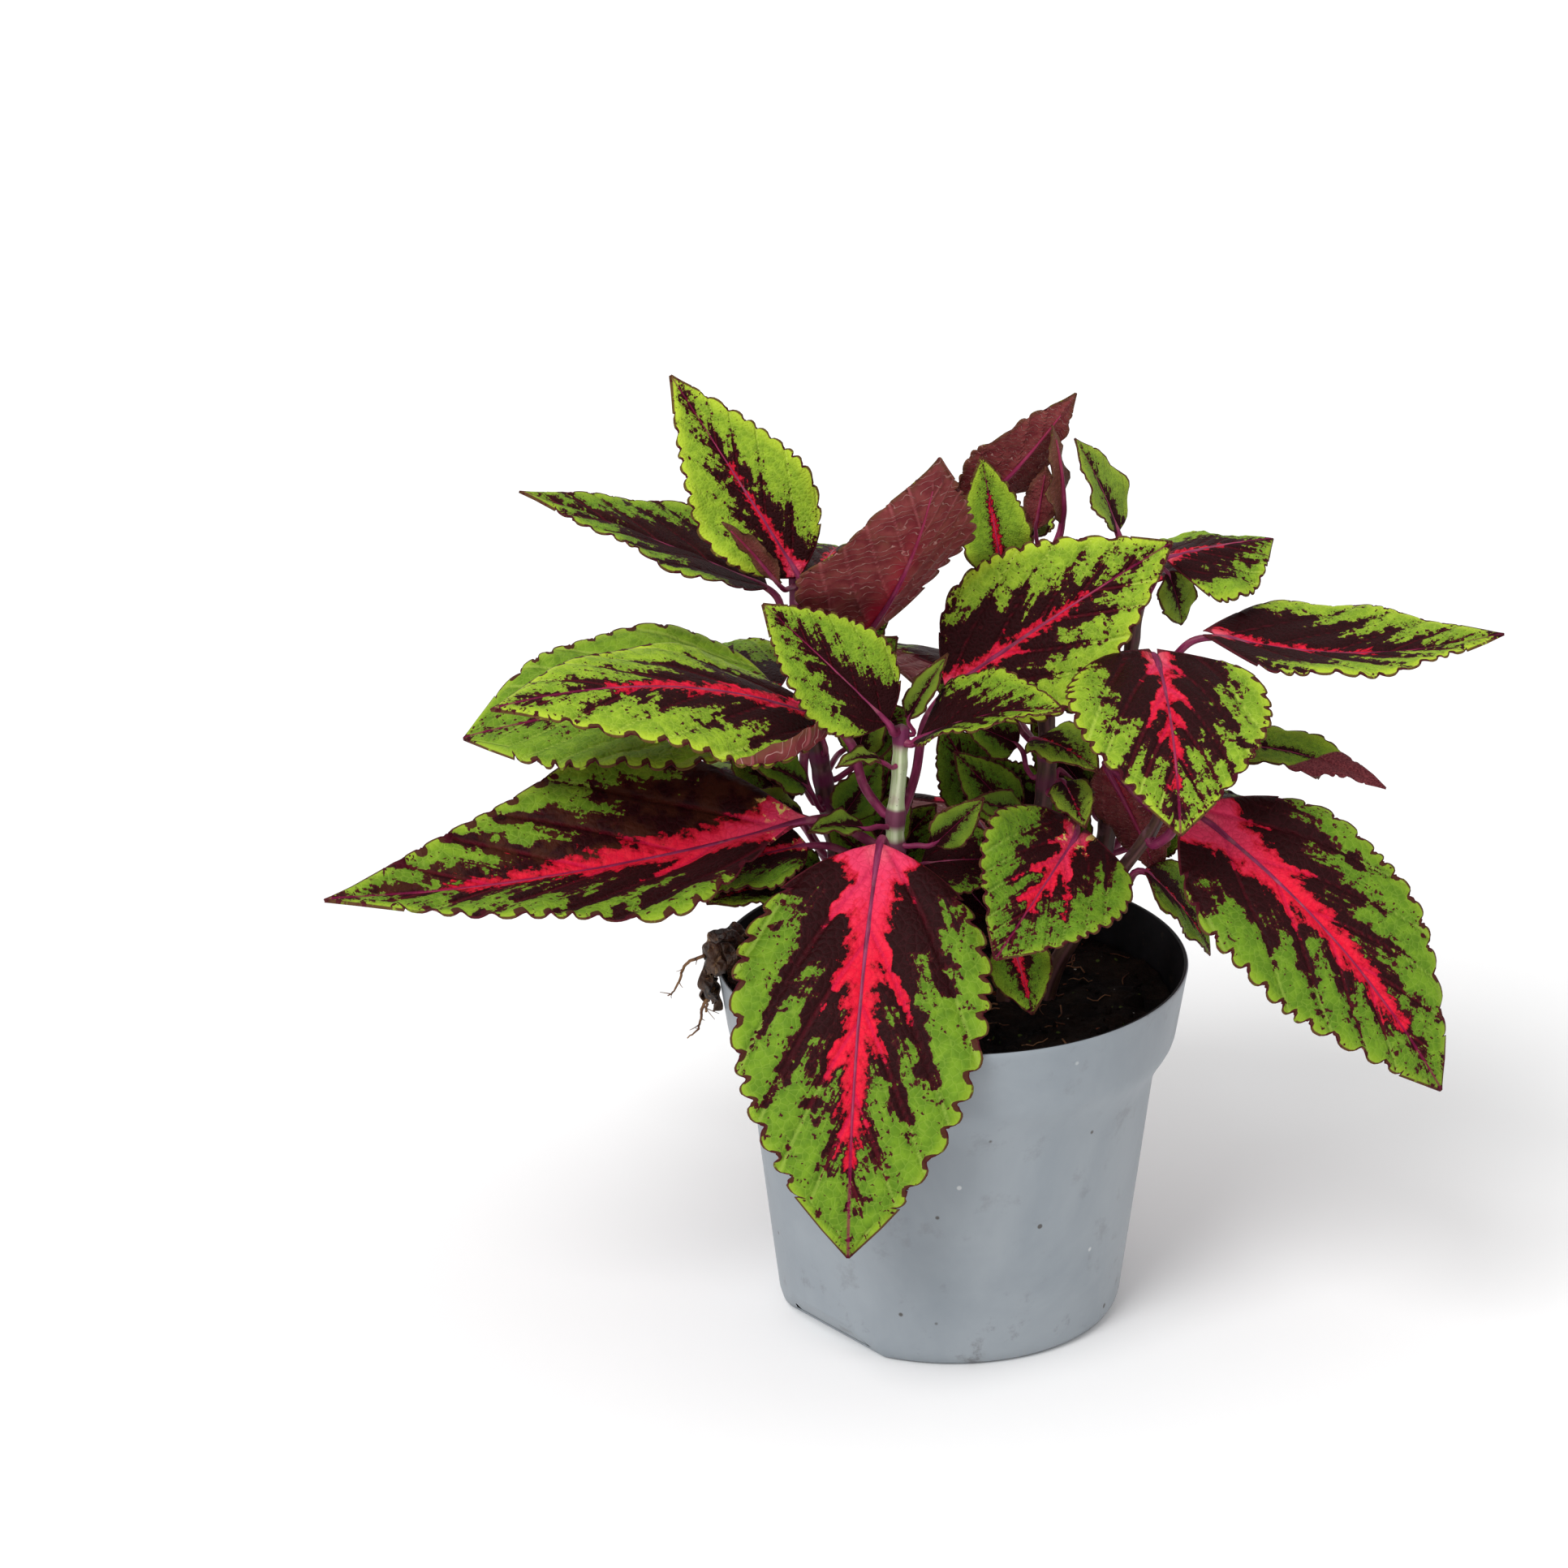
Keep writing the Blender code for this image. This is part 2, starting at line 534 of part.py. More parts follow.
def withered_point(row, across):
    """Point of the dry leaf's middle surface, in mm: across runs from -1 to 1."""
    turn = math.radians(WITHERED_ANGLE)
    out = np.array([math.cos(turn), math.sin(turn), 0.0])
    side = np.array([-math.sin(turn), math.cos(turn), 0.0])
    radius, height = WITHERED_PATH[row]
    crumple = WITHERED_CRUMPLE * (1 + math.sin(2.3 * row + 4.1 * across)) / 2
    over_rim = WITHERED_PATH.index(max(WITHERED_PATH, key=lambda point: point[1]))
    radius += crumple if row > over_rim else 0.0
    height += crumple if row <= over_rim + 1 else 0.0
    width = WITHERED_WIDTH * (1.0 - 0.5 * abs(row / (len(WITHERED_PATH) - 1) - 0.4))
    return out * radius + side * across * width / 2 + np.array([0, 0, height])


def build_withered(parts):
    """Crumpled dry leaf that hangs over the rim, with its roots."""
    rows = len(WITHERED_PATH)
    grid = bmesh.new()
    bmesh.ops.create_grid(grid, x_segments=rows - 1, y_segments=4, size=1.0)
    for vert in grid.verts:
        row = round((vert.co.x + 1) / 2 * (rows - 1))
        vert.co = Vector(withered_point(row, vert.co.y) * MM)
    bmesh.ops.triangulate(grid, faces=grid.faces, quad_method="SHORT_EDGE")
    mesh = bpy.data.meshes.new("withered_sheet")
    grid.to_mesh(mesh)
    grid.free()
    sheet = add_object("withered_sheet", mesh, parts)
    solid = sheet.modifiers.new("thickness", "SOLIDIFY")
    solid.thickness = WITHERED_THICKNESS * MM
    solid.offset = 0.0
    roots = []
    for index, (row, across, steps) in enumerate(ROOTS):
        start = withered_point(row, across)
        points = [start] + [start + np.array(step, float) for step in steps]
        radii = [ROOT_RADIUS * (1.3 - 0.2 * place) for place in range(len(points))]
        roots.append(tube_object(f"root_{index}", points, radii, parts, 0))
    join(sheet, roots, parts, "withered_leaf", material("withered_leaf", (0.16, 0.09, 0.05), 0.9))


clear_scene()
COLEUS = new_collection("coleus")
CUTTERS = new_collection("cutters")
build_pot(COLEUS, CUTTERS)
build_soil(COLEUS, CUTTERS)
for STEM_NAME in STEMS:
    build_stem(STEM_NAME, COLEUS)
for LEAF in LEAVES:
    build_leaf(LEAF, COLEUS)
build_withered(COLEUS)
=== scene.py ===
"""Coleus in its pot, as it looks in the photo: the fine pieces over the CAD frame.

Tables are in millimetres. Leaf patterns are worked out from each leaf's veins.
"""
import math
from dataclasses import dataclass

import bmesh
import bpy
import numpy as np
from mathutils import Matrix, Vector


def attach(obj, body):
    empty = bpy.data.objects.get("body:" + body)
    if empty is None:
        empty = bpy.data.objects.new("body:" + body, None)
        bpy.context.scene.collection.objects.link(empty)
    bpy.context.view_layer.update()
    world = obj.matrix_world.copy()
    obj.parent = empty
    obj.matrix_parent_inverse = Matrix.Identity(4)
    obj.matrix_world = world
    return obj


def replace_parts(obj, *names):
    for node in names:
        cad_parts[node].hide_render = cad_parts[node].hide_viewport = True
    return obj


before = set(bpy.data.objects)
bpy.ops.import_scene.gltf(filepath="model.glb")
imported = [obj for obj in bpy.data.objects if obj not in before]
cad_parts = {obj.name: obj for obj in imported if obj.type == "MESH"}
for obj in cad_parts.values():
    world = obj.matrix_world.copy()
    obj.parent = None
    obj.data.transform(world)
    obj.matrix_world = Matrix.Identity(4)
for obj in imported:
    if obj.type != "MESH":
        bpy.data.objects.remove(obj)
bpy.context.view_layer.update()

MM = 0.001

# The same pot as in the CAD source
POT_HEIGHT = 94.0
RIM_RADIUS = 59.8
WALL = 1.2
FLOOR = 1.4
POT_OUTER = (
    (RIM_RADIUS, POT_HEIGHT), (57.1, 77.0), (56.4, 74.5), (54.4, 71.0), (52.2, 67.0),
    (51.4, 64.0), (44.6, 9.4), (43.9, 4.0), (42.6, 1.2), (41.0, 0.0),
)
DRAIN_HOLES = 4
DRAIN_HOLE_RADIUS = 3.5
DRAIN_CIRCLE = 24.0
DRAIN_TURN = 39.0
NOTCH_ANGLES = (219.0, 39.0)
NOTCH_HEIGHT = 9.0
NOTCH_RADIUS = 37.0
NOTCH_FLARE = POT_OUTER[-4][0] - NOTCH_RADIUS
SOIL_TOP = 82.0
SOIL_DOME = 1.5
SOIL_EDGE = 56.2
HOLE_FLOOR = 45.0

# Finer pot: the outside from the lip down, and the slanted wall behind each notch
POT_SIDES = 160
POT_OUTSIDE = (
    (59.45, 93.98), (59.68, 93.85), (59.78, 93.6), (59.6, 92.6), (59.1, 89.6), (57.15, 77.2),
    (56.95, 76.2), (56.45, 74.6), (55.55, 72.9), (54.4, 71.1), (53.2, 69.0), (52.3, 67.0), (51.75, 65.4),
    (51.4, 63.9), (50.6, 57.5), (48.4, 39.5), (46.2, 22.0), (44.6, 9.4), (44.2, 6.4), (43.9, 4.0),
    (43.4, 2.4), (42.6, 1.1), (41.8, 0.4), (41.0, 0.05), (40.0, 0.0), (32.0, 0.0), (31.4, 0.5),
    (30.6, 0.5), (30.0, 0.0), (0.0, 0.0),
)
POT_LIP = ((58.6, 93.4), (58.75, 93.85), (59.0, 94.0))
LIP_HEIGHT = 93.5
LIP_RADIUS = 59.3
SHARP_ANGLE = 38.0
PLATE_HALF = 13.0
PLATE_FOOT = 0.2
PLATE_DEPTHS = (0.1, 1.2)

# Finer soil: its side under the surface, and the crumbs and fibres on it
SOIL_SIDE = ((56.2, 79.5), (55.2, 74.5), (53.0, 71.0), (50.8, 67.0), (49.8, 63.0), (43.6, 12.0), (34.0, 1.8),
             (0.05, 1.8))
SOIL_RINGS = 64
SOIL_SIDES = 240
CRUMBS = 330
CRUMB_REACH = 54.0
CRUMB_SIZES = (0.5, 0.8, 1.2, 1.9)
CRUMB_SHARES = (0.4, 0.34, 0.2, 0.06)
FIBRES = 70
FIBRE_REACH = 52.0
FIBRE_POINTS = 6
FIBRE_STEP = 1.5

# The same stems as in the CAD source, and the swelling at each node
STEMS = {
    "stem_front": (((-14, -14, 84), (-15, -14, 132), (-14, -12.5, 150), (-13.5, -12, 163)), 2.5, 1.5),
    "stem_left": (((-22, 8, 84), (-32, 10, 134), (-38, 13, 172), (-40, 14, 193)), 2.6, 1.4),
    "stem_centre": (((14, -2, 84), (23, -1, 143), (21, 13, 172), (17, 26, 198)), 2.6, 1.4),
    "stem_right": (((20, 14, 84), (37, 13, 114), (41, 12, 145), (47, 13, 195)), 2.6, 1.4),
    "stem_right_low": (((24, 1, 84), (37, -4, 112), (50, -9, 134), (52, -8, 143)), 2.3, 1.3),
}
KNOB_SWELL = 0.16
KNOB_SPREAD = 2.2
# Clear space between a stem and the CAD's stalks
STALK_GAP = 0.35

# A blade: its thickness, and where it is widest and its teeth begin and end, as shares of its length
BLADE = 0.5
WIDEST = 0.37
TEETH_FROM = 0.13
TEETH_TO = 0.88
TOOTH_DEPTH = 0.024
BASE_HALF = 1.0
TIP_HALF = 0.25
COLUMN_WIDTH = 0.97
# Stations along one tooth, for blades longer than the length before them
LONG_BLADE = 60.0
STATIONS = (
    (LONG_BLADE, (0.0, 0.035, 0.09, 0.17, 0.28, 0.41, 0.55, 0.69, 0.81, 0.9, 0.96)),
    (32.0, (0.0, 0.05, 0.13, 0.27, 0.45, 0.65, 0.82, 0.94)),
    (0.0, (0.0, 0.12, 0.4, 0.75)),
)

# Side veins, in pattern units in which the widest half width is FULL_HALF
FULL_HALF = 32.5
VEIN_STEP = 0.2
VEIN_SLOPE = 1.22
VEIN_SPLAY = 1.4
VEIN_BEND = 2.1
# How far the red runs out along each side vein, from the blade's base to its tip
BRANCHES = (0.38, 0.37, 0.25, 0.15, 0.08, 0.0)
# Half width of the red centre along a blade, as a multiple of the leaf's own value
CENTRE = ((0.0, 2.7), (0.05, 2.6), (0.11, 1.5), (0.25, 1.15), (0.53, 0.85), (0.83, 0.5), (0.94, 0.34),
          (1.0, 0.0))

# Places of the plant's materials in the list PLANT
BLADE_TOP, BLADE_UNDER, STALK, STEM_PALE, STEM_DARK = range(5)

# The leaf with a rolled margin: its side, the shares of the length it runs between, and its height
ROLLED_LEAF = "leaf_left_mid"
ROLL_SIDE = -1
ROLL_FROM = 0.02
ROLL_TO = 0.4
ROLL_HEIGHT = 6.5

# The camera at the photo's angle, the light and the floor
CAMERA_AT = (-0.0427, -1.650, 0.815)
CAMERA_DOWN = 22.2
CAMERA_LENS = 163.0
WORLD_LIGHT = 0.76
KEY_LIGHT = 1.75
KEY_FROM = (-0.5, -0.75, 1.0)
KEY_SIZE = 30.0
FLOOR_HALF = 6.0
FLOOR_BACK = 3.0


@dataclass
class Leaf:
    """One leaf: where it grows, how its blade is bent, and how its pattern is drawn.

    Its stalk leaves the stem at the height node. Base and tip are the blade's ends, and face is the
    way its upper side looks. Fold is in degrees; arch, curl, lobe and bow are bends in mm.
    """
    name: str
    stem: str
    node: float
    base: tuple
    tip: tuple
    width: float
    face: tuple
    arch: float = 5.0
    fold: float = 10.0
    curl: float = 0.0
    point: float = 1.75
    lobe: float = 0.0
    teeth: int = 11
    stalk: float = 1.0
    core: float = 2.0
    branch: float = 0.8
    dark: float = 0.9
    olive: float = 0.0
    brown: float = 0.0
    fleck: float = 0.0
    # Brightens the green, or darkens it below 0: painted light on leaves facing the light, painted shade on
    # shaded leaves, and the paler green of young leaves
    light: float = 0.4
    until: float = 0.84
    cut: float = 0.7
    heel: float = 0.8
    waist: float = 0.0
    bow: float = 0.0
    turned: tuple = ()


def small(name, stem, *place, arch=1, stalk=0.7, core=0.0, branch=0.0, **more):
    """Small flat leaf on a thin stalk, without a red centre unless one is given."""
    return Leaf(name, "stem_" + stem, *place, arch=arch, stalk=stalk, core=core, branch=branch, **more)


def inner(number, stem, *place, light=-0.75, **more):
    """Numbered small leaf between the stems, in the plant's shade; its green is darkened as painted shade."""
    return small(f"inner_{number:02}", stem, *place, light=light, **more)


LEAVES = (
    Leaf("leaf_front_large", "stem_front", 129, (-19, -25, 136), (-27, -81, 49), 65, (0, -0.8, 0.5), arch=9,
         fold=6, curl=3, point=2.3, teeth=12, stalk=1.3, core=4.4, branch=1.0, dark=1.0, light=0.0, cut=0.82,
         bow=1.8),
    Leaf("leaf_left_low", "stem_front", 130, (-36, -14, 138), (-155.9, -42, 128), 73, (0, -0.27, 0.96),
         arch=-4.5, fold=16, point=1.15, teeth=13, stalk=1.3, core=4.2, dark=1.12, brown=0.8, fleck=0.9,
         light=0.3, until=0.8, cut=0.34, heel=1.2, waist=1.1),
    Leaf("leaf_left_mid", "stem_front", 139, (-30, -8, 161), (-114, -46, 180), 52, (-0.1, -0.3, 0.95), arch=9,
         fold=-5, curl=2, teeth=12, stalk=1.2, core=3.2, branch=0.7, dark=0.95, brown=0.2, light=1.3,
         until=0.74, cut=0.5, heel=1.25),
    Leaf("leaf_left_behind", "stem_left", 134, (-42, 8, 159), (-123, 0, 154), 60, (0, -0.26, 0.96), fold=6,
         point=2.8, stalk=1.2, core=0.0, branch=0.0, dark=0.4, light=0.35, cut=0.8),
    Leaf("leaf_left_small", "stem_front", 110, (-40, -18, 121), (-62, -26, 120), 20, (0, -0.25, 0.97), arch=2,
         teeth=6, core=2.4, branch=0.2, dark=0.8, light=0.0),
    Leaf("leaf_young_left", "stem_front", 161, (-17, -17, 165), (-48, -16, 196), 29, (0.1, -0.85, 0.5),
         arch=2, fold=12, teeth=12, core=0.0, branch=0.0, dark=0.78, light=0.7, cut=0.8),
    Leaf("leaf_young_right", "stem_front", 158, (-9, -15, 160), (26, -34, 175), 29, (0, -0.35, 0.93), arch=3,
         fold=22, teeth=12, core=0.0, branch=0.0, dark=0.95, light=0.6),
    Leaf("leaf_upper_left", "stem_left", 186, (-39, 9, 194), (-71, 26, 241), 33, (0.2, -0.9, 0.3), arch=1,
         point=1.4, core=2.6, branch=0.2, dark=0.72, light=1.35, until=0.6, cut=0.6),
    Leaf("leaf_far_left", "stem_left", 178, (-47, 20, 187), (-109, 24, 211), 38, (0.2, -0.1, 0.97), arch=1,
         point=1.3, teeth=10, core=0.0, branch=0.0, dark=1.15, brown=0.3, light=0.3, cut=0.6),
    Leaf("leaf_upper_centre", "stem_left", 184, (-22, 8, 179.6), (-5, -24, 237), 54, (-0.52, 0.78, 0.35),
         arch=-4, fold=16, point=1.3, lobe=5, core=3.0),
    Leaf("leaf_centre_right", "stem_front", 139, (-2, 7, 164.1), (54, 9, 203.1), 44, (-0.2, -0.9, 0.4),
         arch=4, fold=6, stalk=1.2, core=2.6, branch=0.5, dark=0.92, light=1.3, until=0.7, cut=0.6),
    Leaf("leaf_top_centre", "stem_centre", 184, (12.5, 20, 188.6), (6.5, 21, 221.6), 18.5, (0.1, -0.95, 0.2),
         arch=1, teeth=8, core=3.4, branch=0.1, dark=0.3, light=0.6, until=0.75),
    Leaf("leaf_top_right", "stem_centre", 190, (3, 33, 201), (30, 24, 237), 24, (-0.3, 0.85, 0.4), arch=-2,
         fold=14, teeth=8, core=1.0, dark=0.6),
    Leaf("leaf_right_mid", "stem_right", 168, (50, -3, 176.6), (54, -52, 149.2), 52, (0.1, -0.4, 0.9), arch=6,
         fold=4, lobe=6, teeth=12, stalk=1.2, core=1.8, branch=0.7, dark=0.84, light=1.0, until=0.86,
         cut=0.65, heel=0.75),
    Leaf("leaf_far_right", "stem_right", 164, (66, 9, 178), (136.92, 4, 180.5), 43, (0, -0.1, 1), arch=-5,
         lobe=4, core=1.7, branch=0.4, dark=1.05, light=1.3, until=0.62, cut=0.6),
    Leaf("leaf_upper_right", "stem_right", 190, (53, 19, 195), (81, 36, 194), 36, (0, -0.22, 0.96), arch=1,
         fold=-20, teeth=9, branch=0.4, dark=0.72, light=0.7, until=0.55),
    Leaf("leaf_right_low", "stem_right_low", 131, (61, -18, 140), (120, -52, 81), 55, (0.2, -0.6, 0.8),
         arch=9, fold=7, curl=2, point=2.1, lobe=5, teeth=12, stalk=1.3, core=5.0, branch=0.85, dark=1.0,
         light=-0.15, until=0.86, cut=0.8),
    Leaf("leaf_right_behind", "stem_right", 140, (66, 18, 145), (109, 6, 138), 17, (0, -0.3, 0.95), arch=4,
         fold=8, teeth=8, core=0.0, branch=0.0, dark=0.4, light=0.2, turned=(0.5, 1)),
    Leaf("leaf_front_right", "stem_centre", 134, (30, -20, 136), (9, -56, 118), 42, (0.3, -0.6, 0.75), arch=4,
         fold=12, lobe=5, stalk=1.1, core=2.8, branch=1.0, dark=0.7, fleck=0.9, light=-0.3, until=0.7),
    Leaf("leaf_low_front", "stem_centre", 104, (14, -30, 112), (19, -42, 97), 17, (0, -0.8, 0.6), arch=1,
         teeth=5, core=4.4, branch=0.4, dark=0.6, light=-0.2),
    Leaf("leaf_over_rim", "stem_right_low", 112, (48, -7, 121), (65, -5, 97), 22, (0.6, -0.3, 0.7), arch=2,
         teeth=7, core=0.6, dark=0.6, light=-0.3),
    Leaf("leaf_upright_right", "stem_right", 193, (41, 22, 201), (30, 27, 224), 20, (0.8, -0.4, 0.3), arch=1,
         teeth=7, core=0.0, branch=0.0, dark=0.45, olive=0.3, light=0.7),
    Leaf("leaf_upright_purple", "stem_centre", 191, (27, 24, 203), (24, 20, 230), 12, (-0.8, 0.3, 0.3),
         arch=-1, teeth=6, core=0.5, dark=0.4, olive=0.5),
    Leaf("leaf_hanging_purple", "stem_right_low", 138, (38, 2, 146), (52, 1, 116), 23, (0.3, 0.8, 0.4),
         arch=1, teeth=6, core=1.0, dark=0.8, brown=1.0),
    Leaf("leaf_inner_right", "stem_centre", 149, (20, -8, 157), (35, -25, 155), 18, (0, -0.3, 0.95), arch=2,
         teeth=6, core=1.0, dark=0.6, olive=0.2),
    Leaf("leaf_inner_low", "stem_centre", 141, (27, -9, 146), (32, -25, 140), 12, (0, -0.5, 0.85), arch=1,
         teeth=5, core=0.8, dark=0.7, olive=0.3),
    Leaf("leaf_back_left", "stem_left", 144, (-46, 34, 152), (-92, 78, 138), 46, (0, 0.1, 1), arch=6, fold=8,
         stalk=1.1, core=3.4, dark=0.95),
    Leaf("leaf_back", "stem_centre", 150, (10, 42, 154), (-8, 104, 128), 50, (0, 0.3, 0.95), arch=7, fold=8,
         stalk=1.2, core=4.0, branch=1.0, dark=1.0),
    Leaf("leaf_back_right", "stem_right", 132, (58, 34, 136), (98, 84, 109), 48, (0, 0.2, 1), arch=6, fold=8,
         stalk=1.1, core=3.2, branch=0.7, dark=1.05),
    Leaf("leaf_upper_back_left", "stem_left", 174, (-34, 34, 182), (-28, 78, 176), 36, (0, 0.1, 1), arch=3,
         teeth=9, branch=0.5, dark=1.1),
    Leaf("leaf_upper_back_right", "stem_right", 176, (50, 36, 182), (58, 80, 172), 36, (0, 0.1, 1), arch=3,
         teeth=9, core=2.6, branch=0.5, dark=0.8),
    Leaf("leaf_back_low_left", "stem_left", 114, (-44, 28, 124), (-106, 66, 98), 54, (-0.3, 0.3, 0.9), arch=8,
         fold=7, teeth=12, stalk=1.2, core=3.8, branch=0.9),
    Leaf("leaf_back_low", "stem_centre", 110, (4, 40, 120), (12, 102, 66), 56, (0, 0.6, 0.8), arch=9, fold=6,
         teeth=12, stalk=1.2, core=4.2, branch=0.9, dark=0.95),
    Leaf("leaf_back_low_right", "stem_right", 116, (52, 28, 122), (112, 62, 86), 54, (0.3, 0.3, 0.9), arch=8,
         fold=7, teeth=12, stalk=1.2, core=3.6, branch=1.0, dark=1.1),
    Leaf("leaf_top_back", "stem_centre", 188, (14, 44, 189), (12, 78, 180), 28, (0, -0.1, 1), arch=2, fold=12,
         teeth=8, core=1.4, branch=0.2),
)

# Shoot tips and side shoots, which grow on the stems
SPRIGS = (
    small("tip_upright", "front", 160, (-12, -12, 164), (-2, -11, 181), 8, (-0.5, -0.8, 0.3), arch=0.5,
          fold=20, teeth=5, stalk=0.6, dark=0.5, olive=0.45, light=0.2),
    small("tip_curled", "front", 152, (-19, -20, 156), (-30, -25, 156), 7, (0, -0.3, 0.9), arch=2, fold=16,
          teeth=4, stalk=0.6, dark=0.6, olive=0.5),
    small("side_right", "front", 131, (-5, -18, 133), (7, -22, 147), 11, (0.2, -0.8, 0.5), fold=14, teeth=5,
          dark=0.6, olive=0.3, light=-0.3),
    small("side_left", "front", 136, (-23, -18, 137), (-37, -21, 137), 9, (0, -0.4, 0.9), arch=2, fold=16,
          teeth=5, dark=0.6, olive=0.4, light=-0.2),
    small("tip_folded", "left", 190, (-44, 3, 194), (-58, -4, 213), 7, (0.3, 0.9, 0.1), fold=26, teeth=5,
          dark=0.3, olive=0.2),
    small("side_behind", "left", 126, (-38, 4, 131), (-56, -2, 139), 10, (0, -0.4, 0.9), arch=2, fold=14,
          teeth=5, dark=0.5, olive=0.4),
    small("side_inner", "left", 138, (-24, 14, 143), (-20, 15, 163), 13, (-0.2, -0.9, 0.2), teeth=6,
          stalk=0.8, dark=0.6, olive=0.3),
    small("tip_left", "centre", 193, (20, 31, 196), (22, 38, 199), 7, (0.3, 0.2, 0.8), fold=20, teeth=4,
          stalk=0.6, dark=0.3, olive=0.9),
    small("tip_back", "right", 187, (46, 19, 189), (44, 26, 192), 6, (0, -0.5, 0.8), fold=20, teeth=4,
          stalk=0.6, dark=0.3, olive=0.9),
    small("side_hanging", "right", 184, (54, 25, 189), (58, 30, 173), 12, (0.4, -0.8, 0.2), teeth=5, dark=0.5,
          olive=0.3),
    small("low_tip_left", "right_low", 141, (47, -12, 146), (41, -18, 154), 7, (0.3, 0.2, 0.8), fold=18,
          teeth=4, stalk=0.6, core=2.0, branch=0.8, dark=0.4, olive=0.8),
    small("low_tip_right", "right_low", 141, (57, -4, 146), (66, 0, 154), 8, (-0.3, -0.1, 0.8), fold=18,
          teeth=4, stalk=0.6, core=2.0, branch=0.8, dark=0.4, olive=0.8),
)

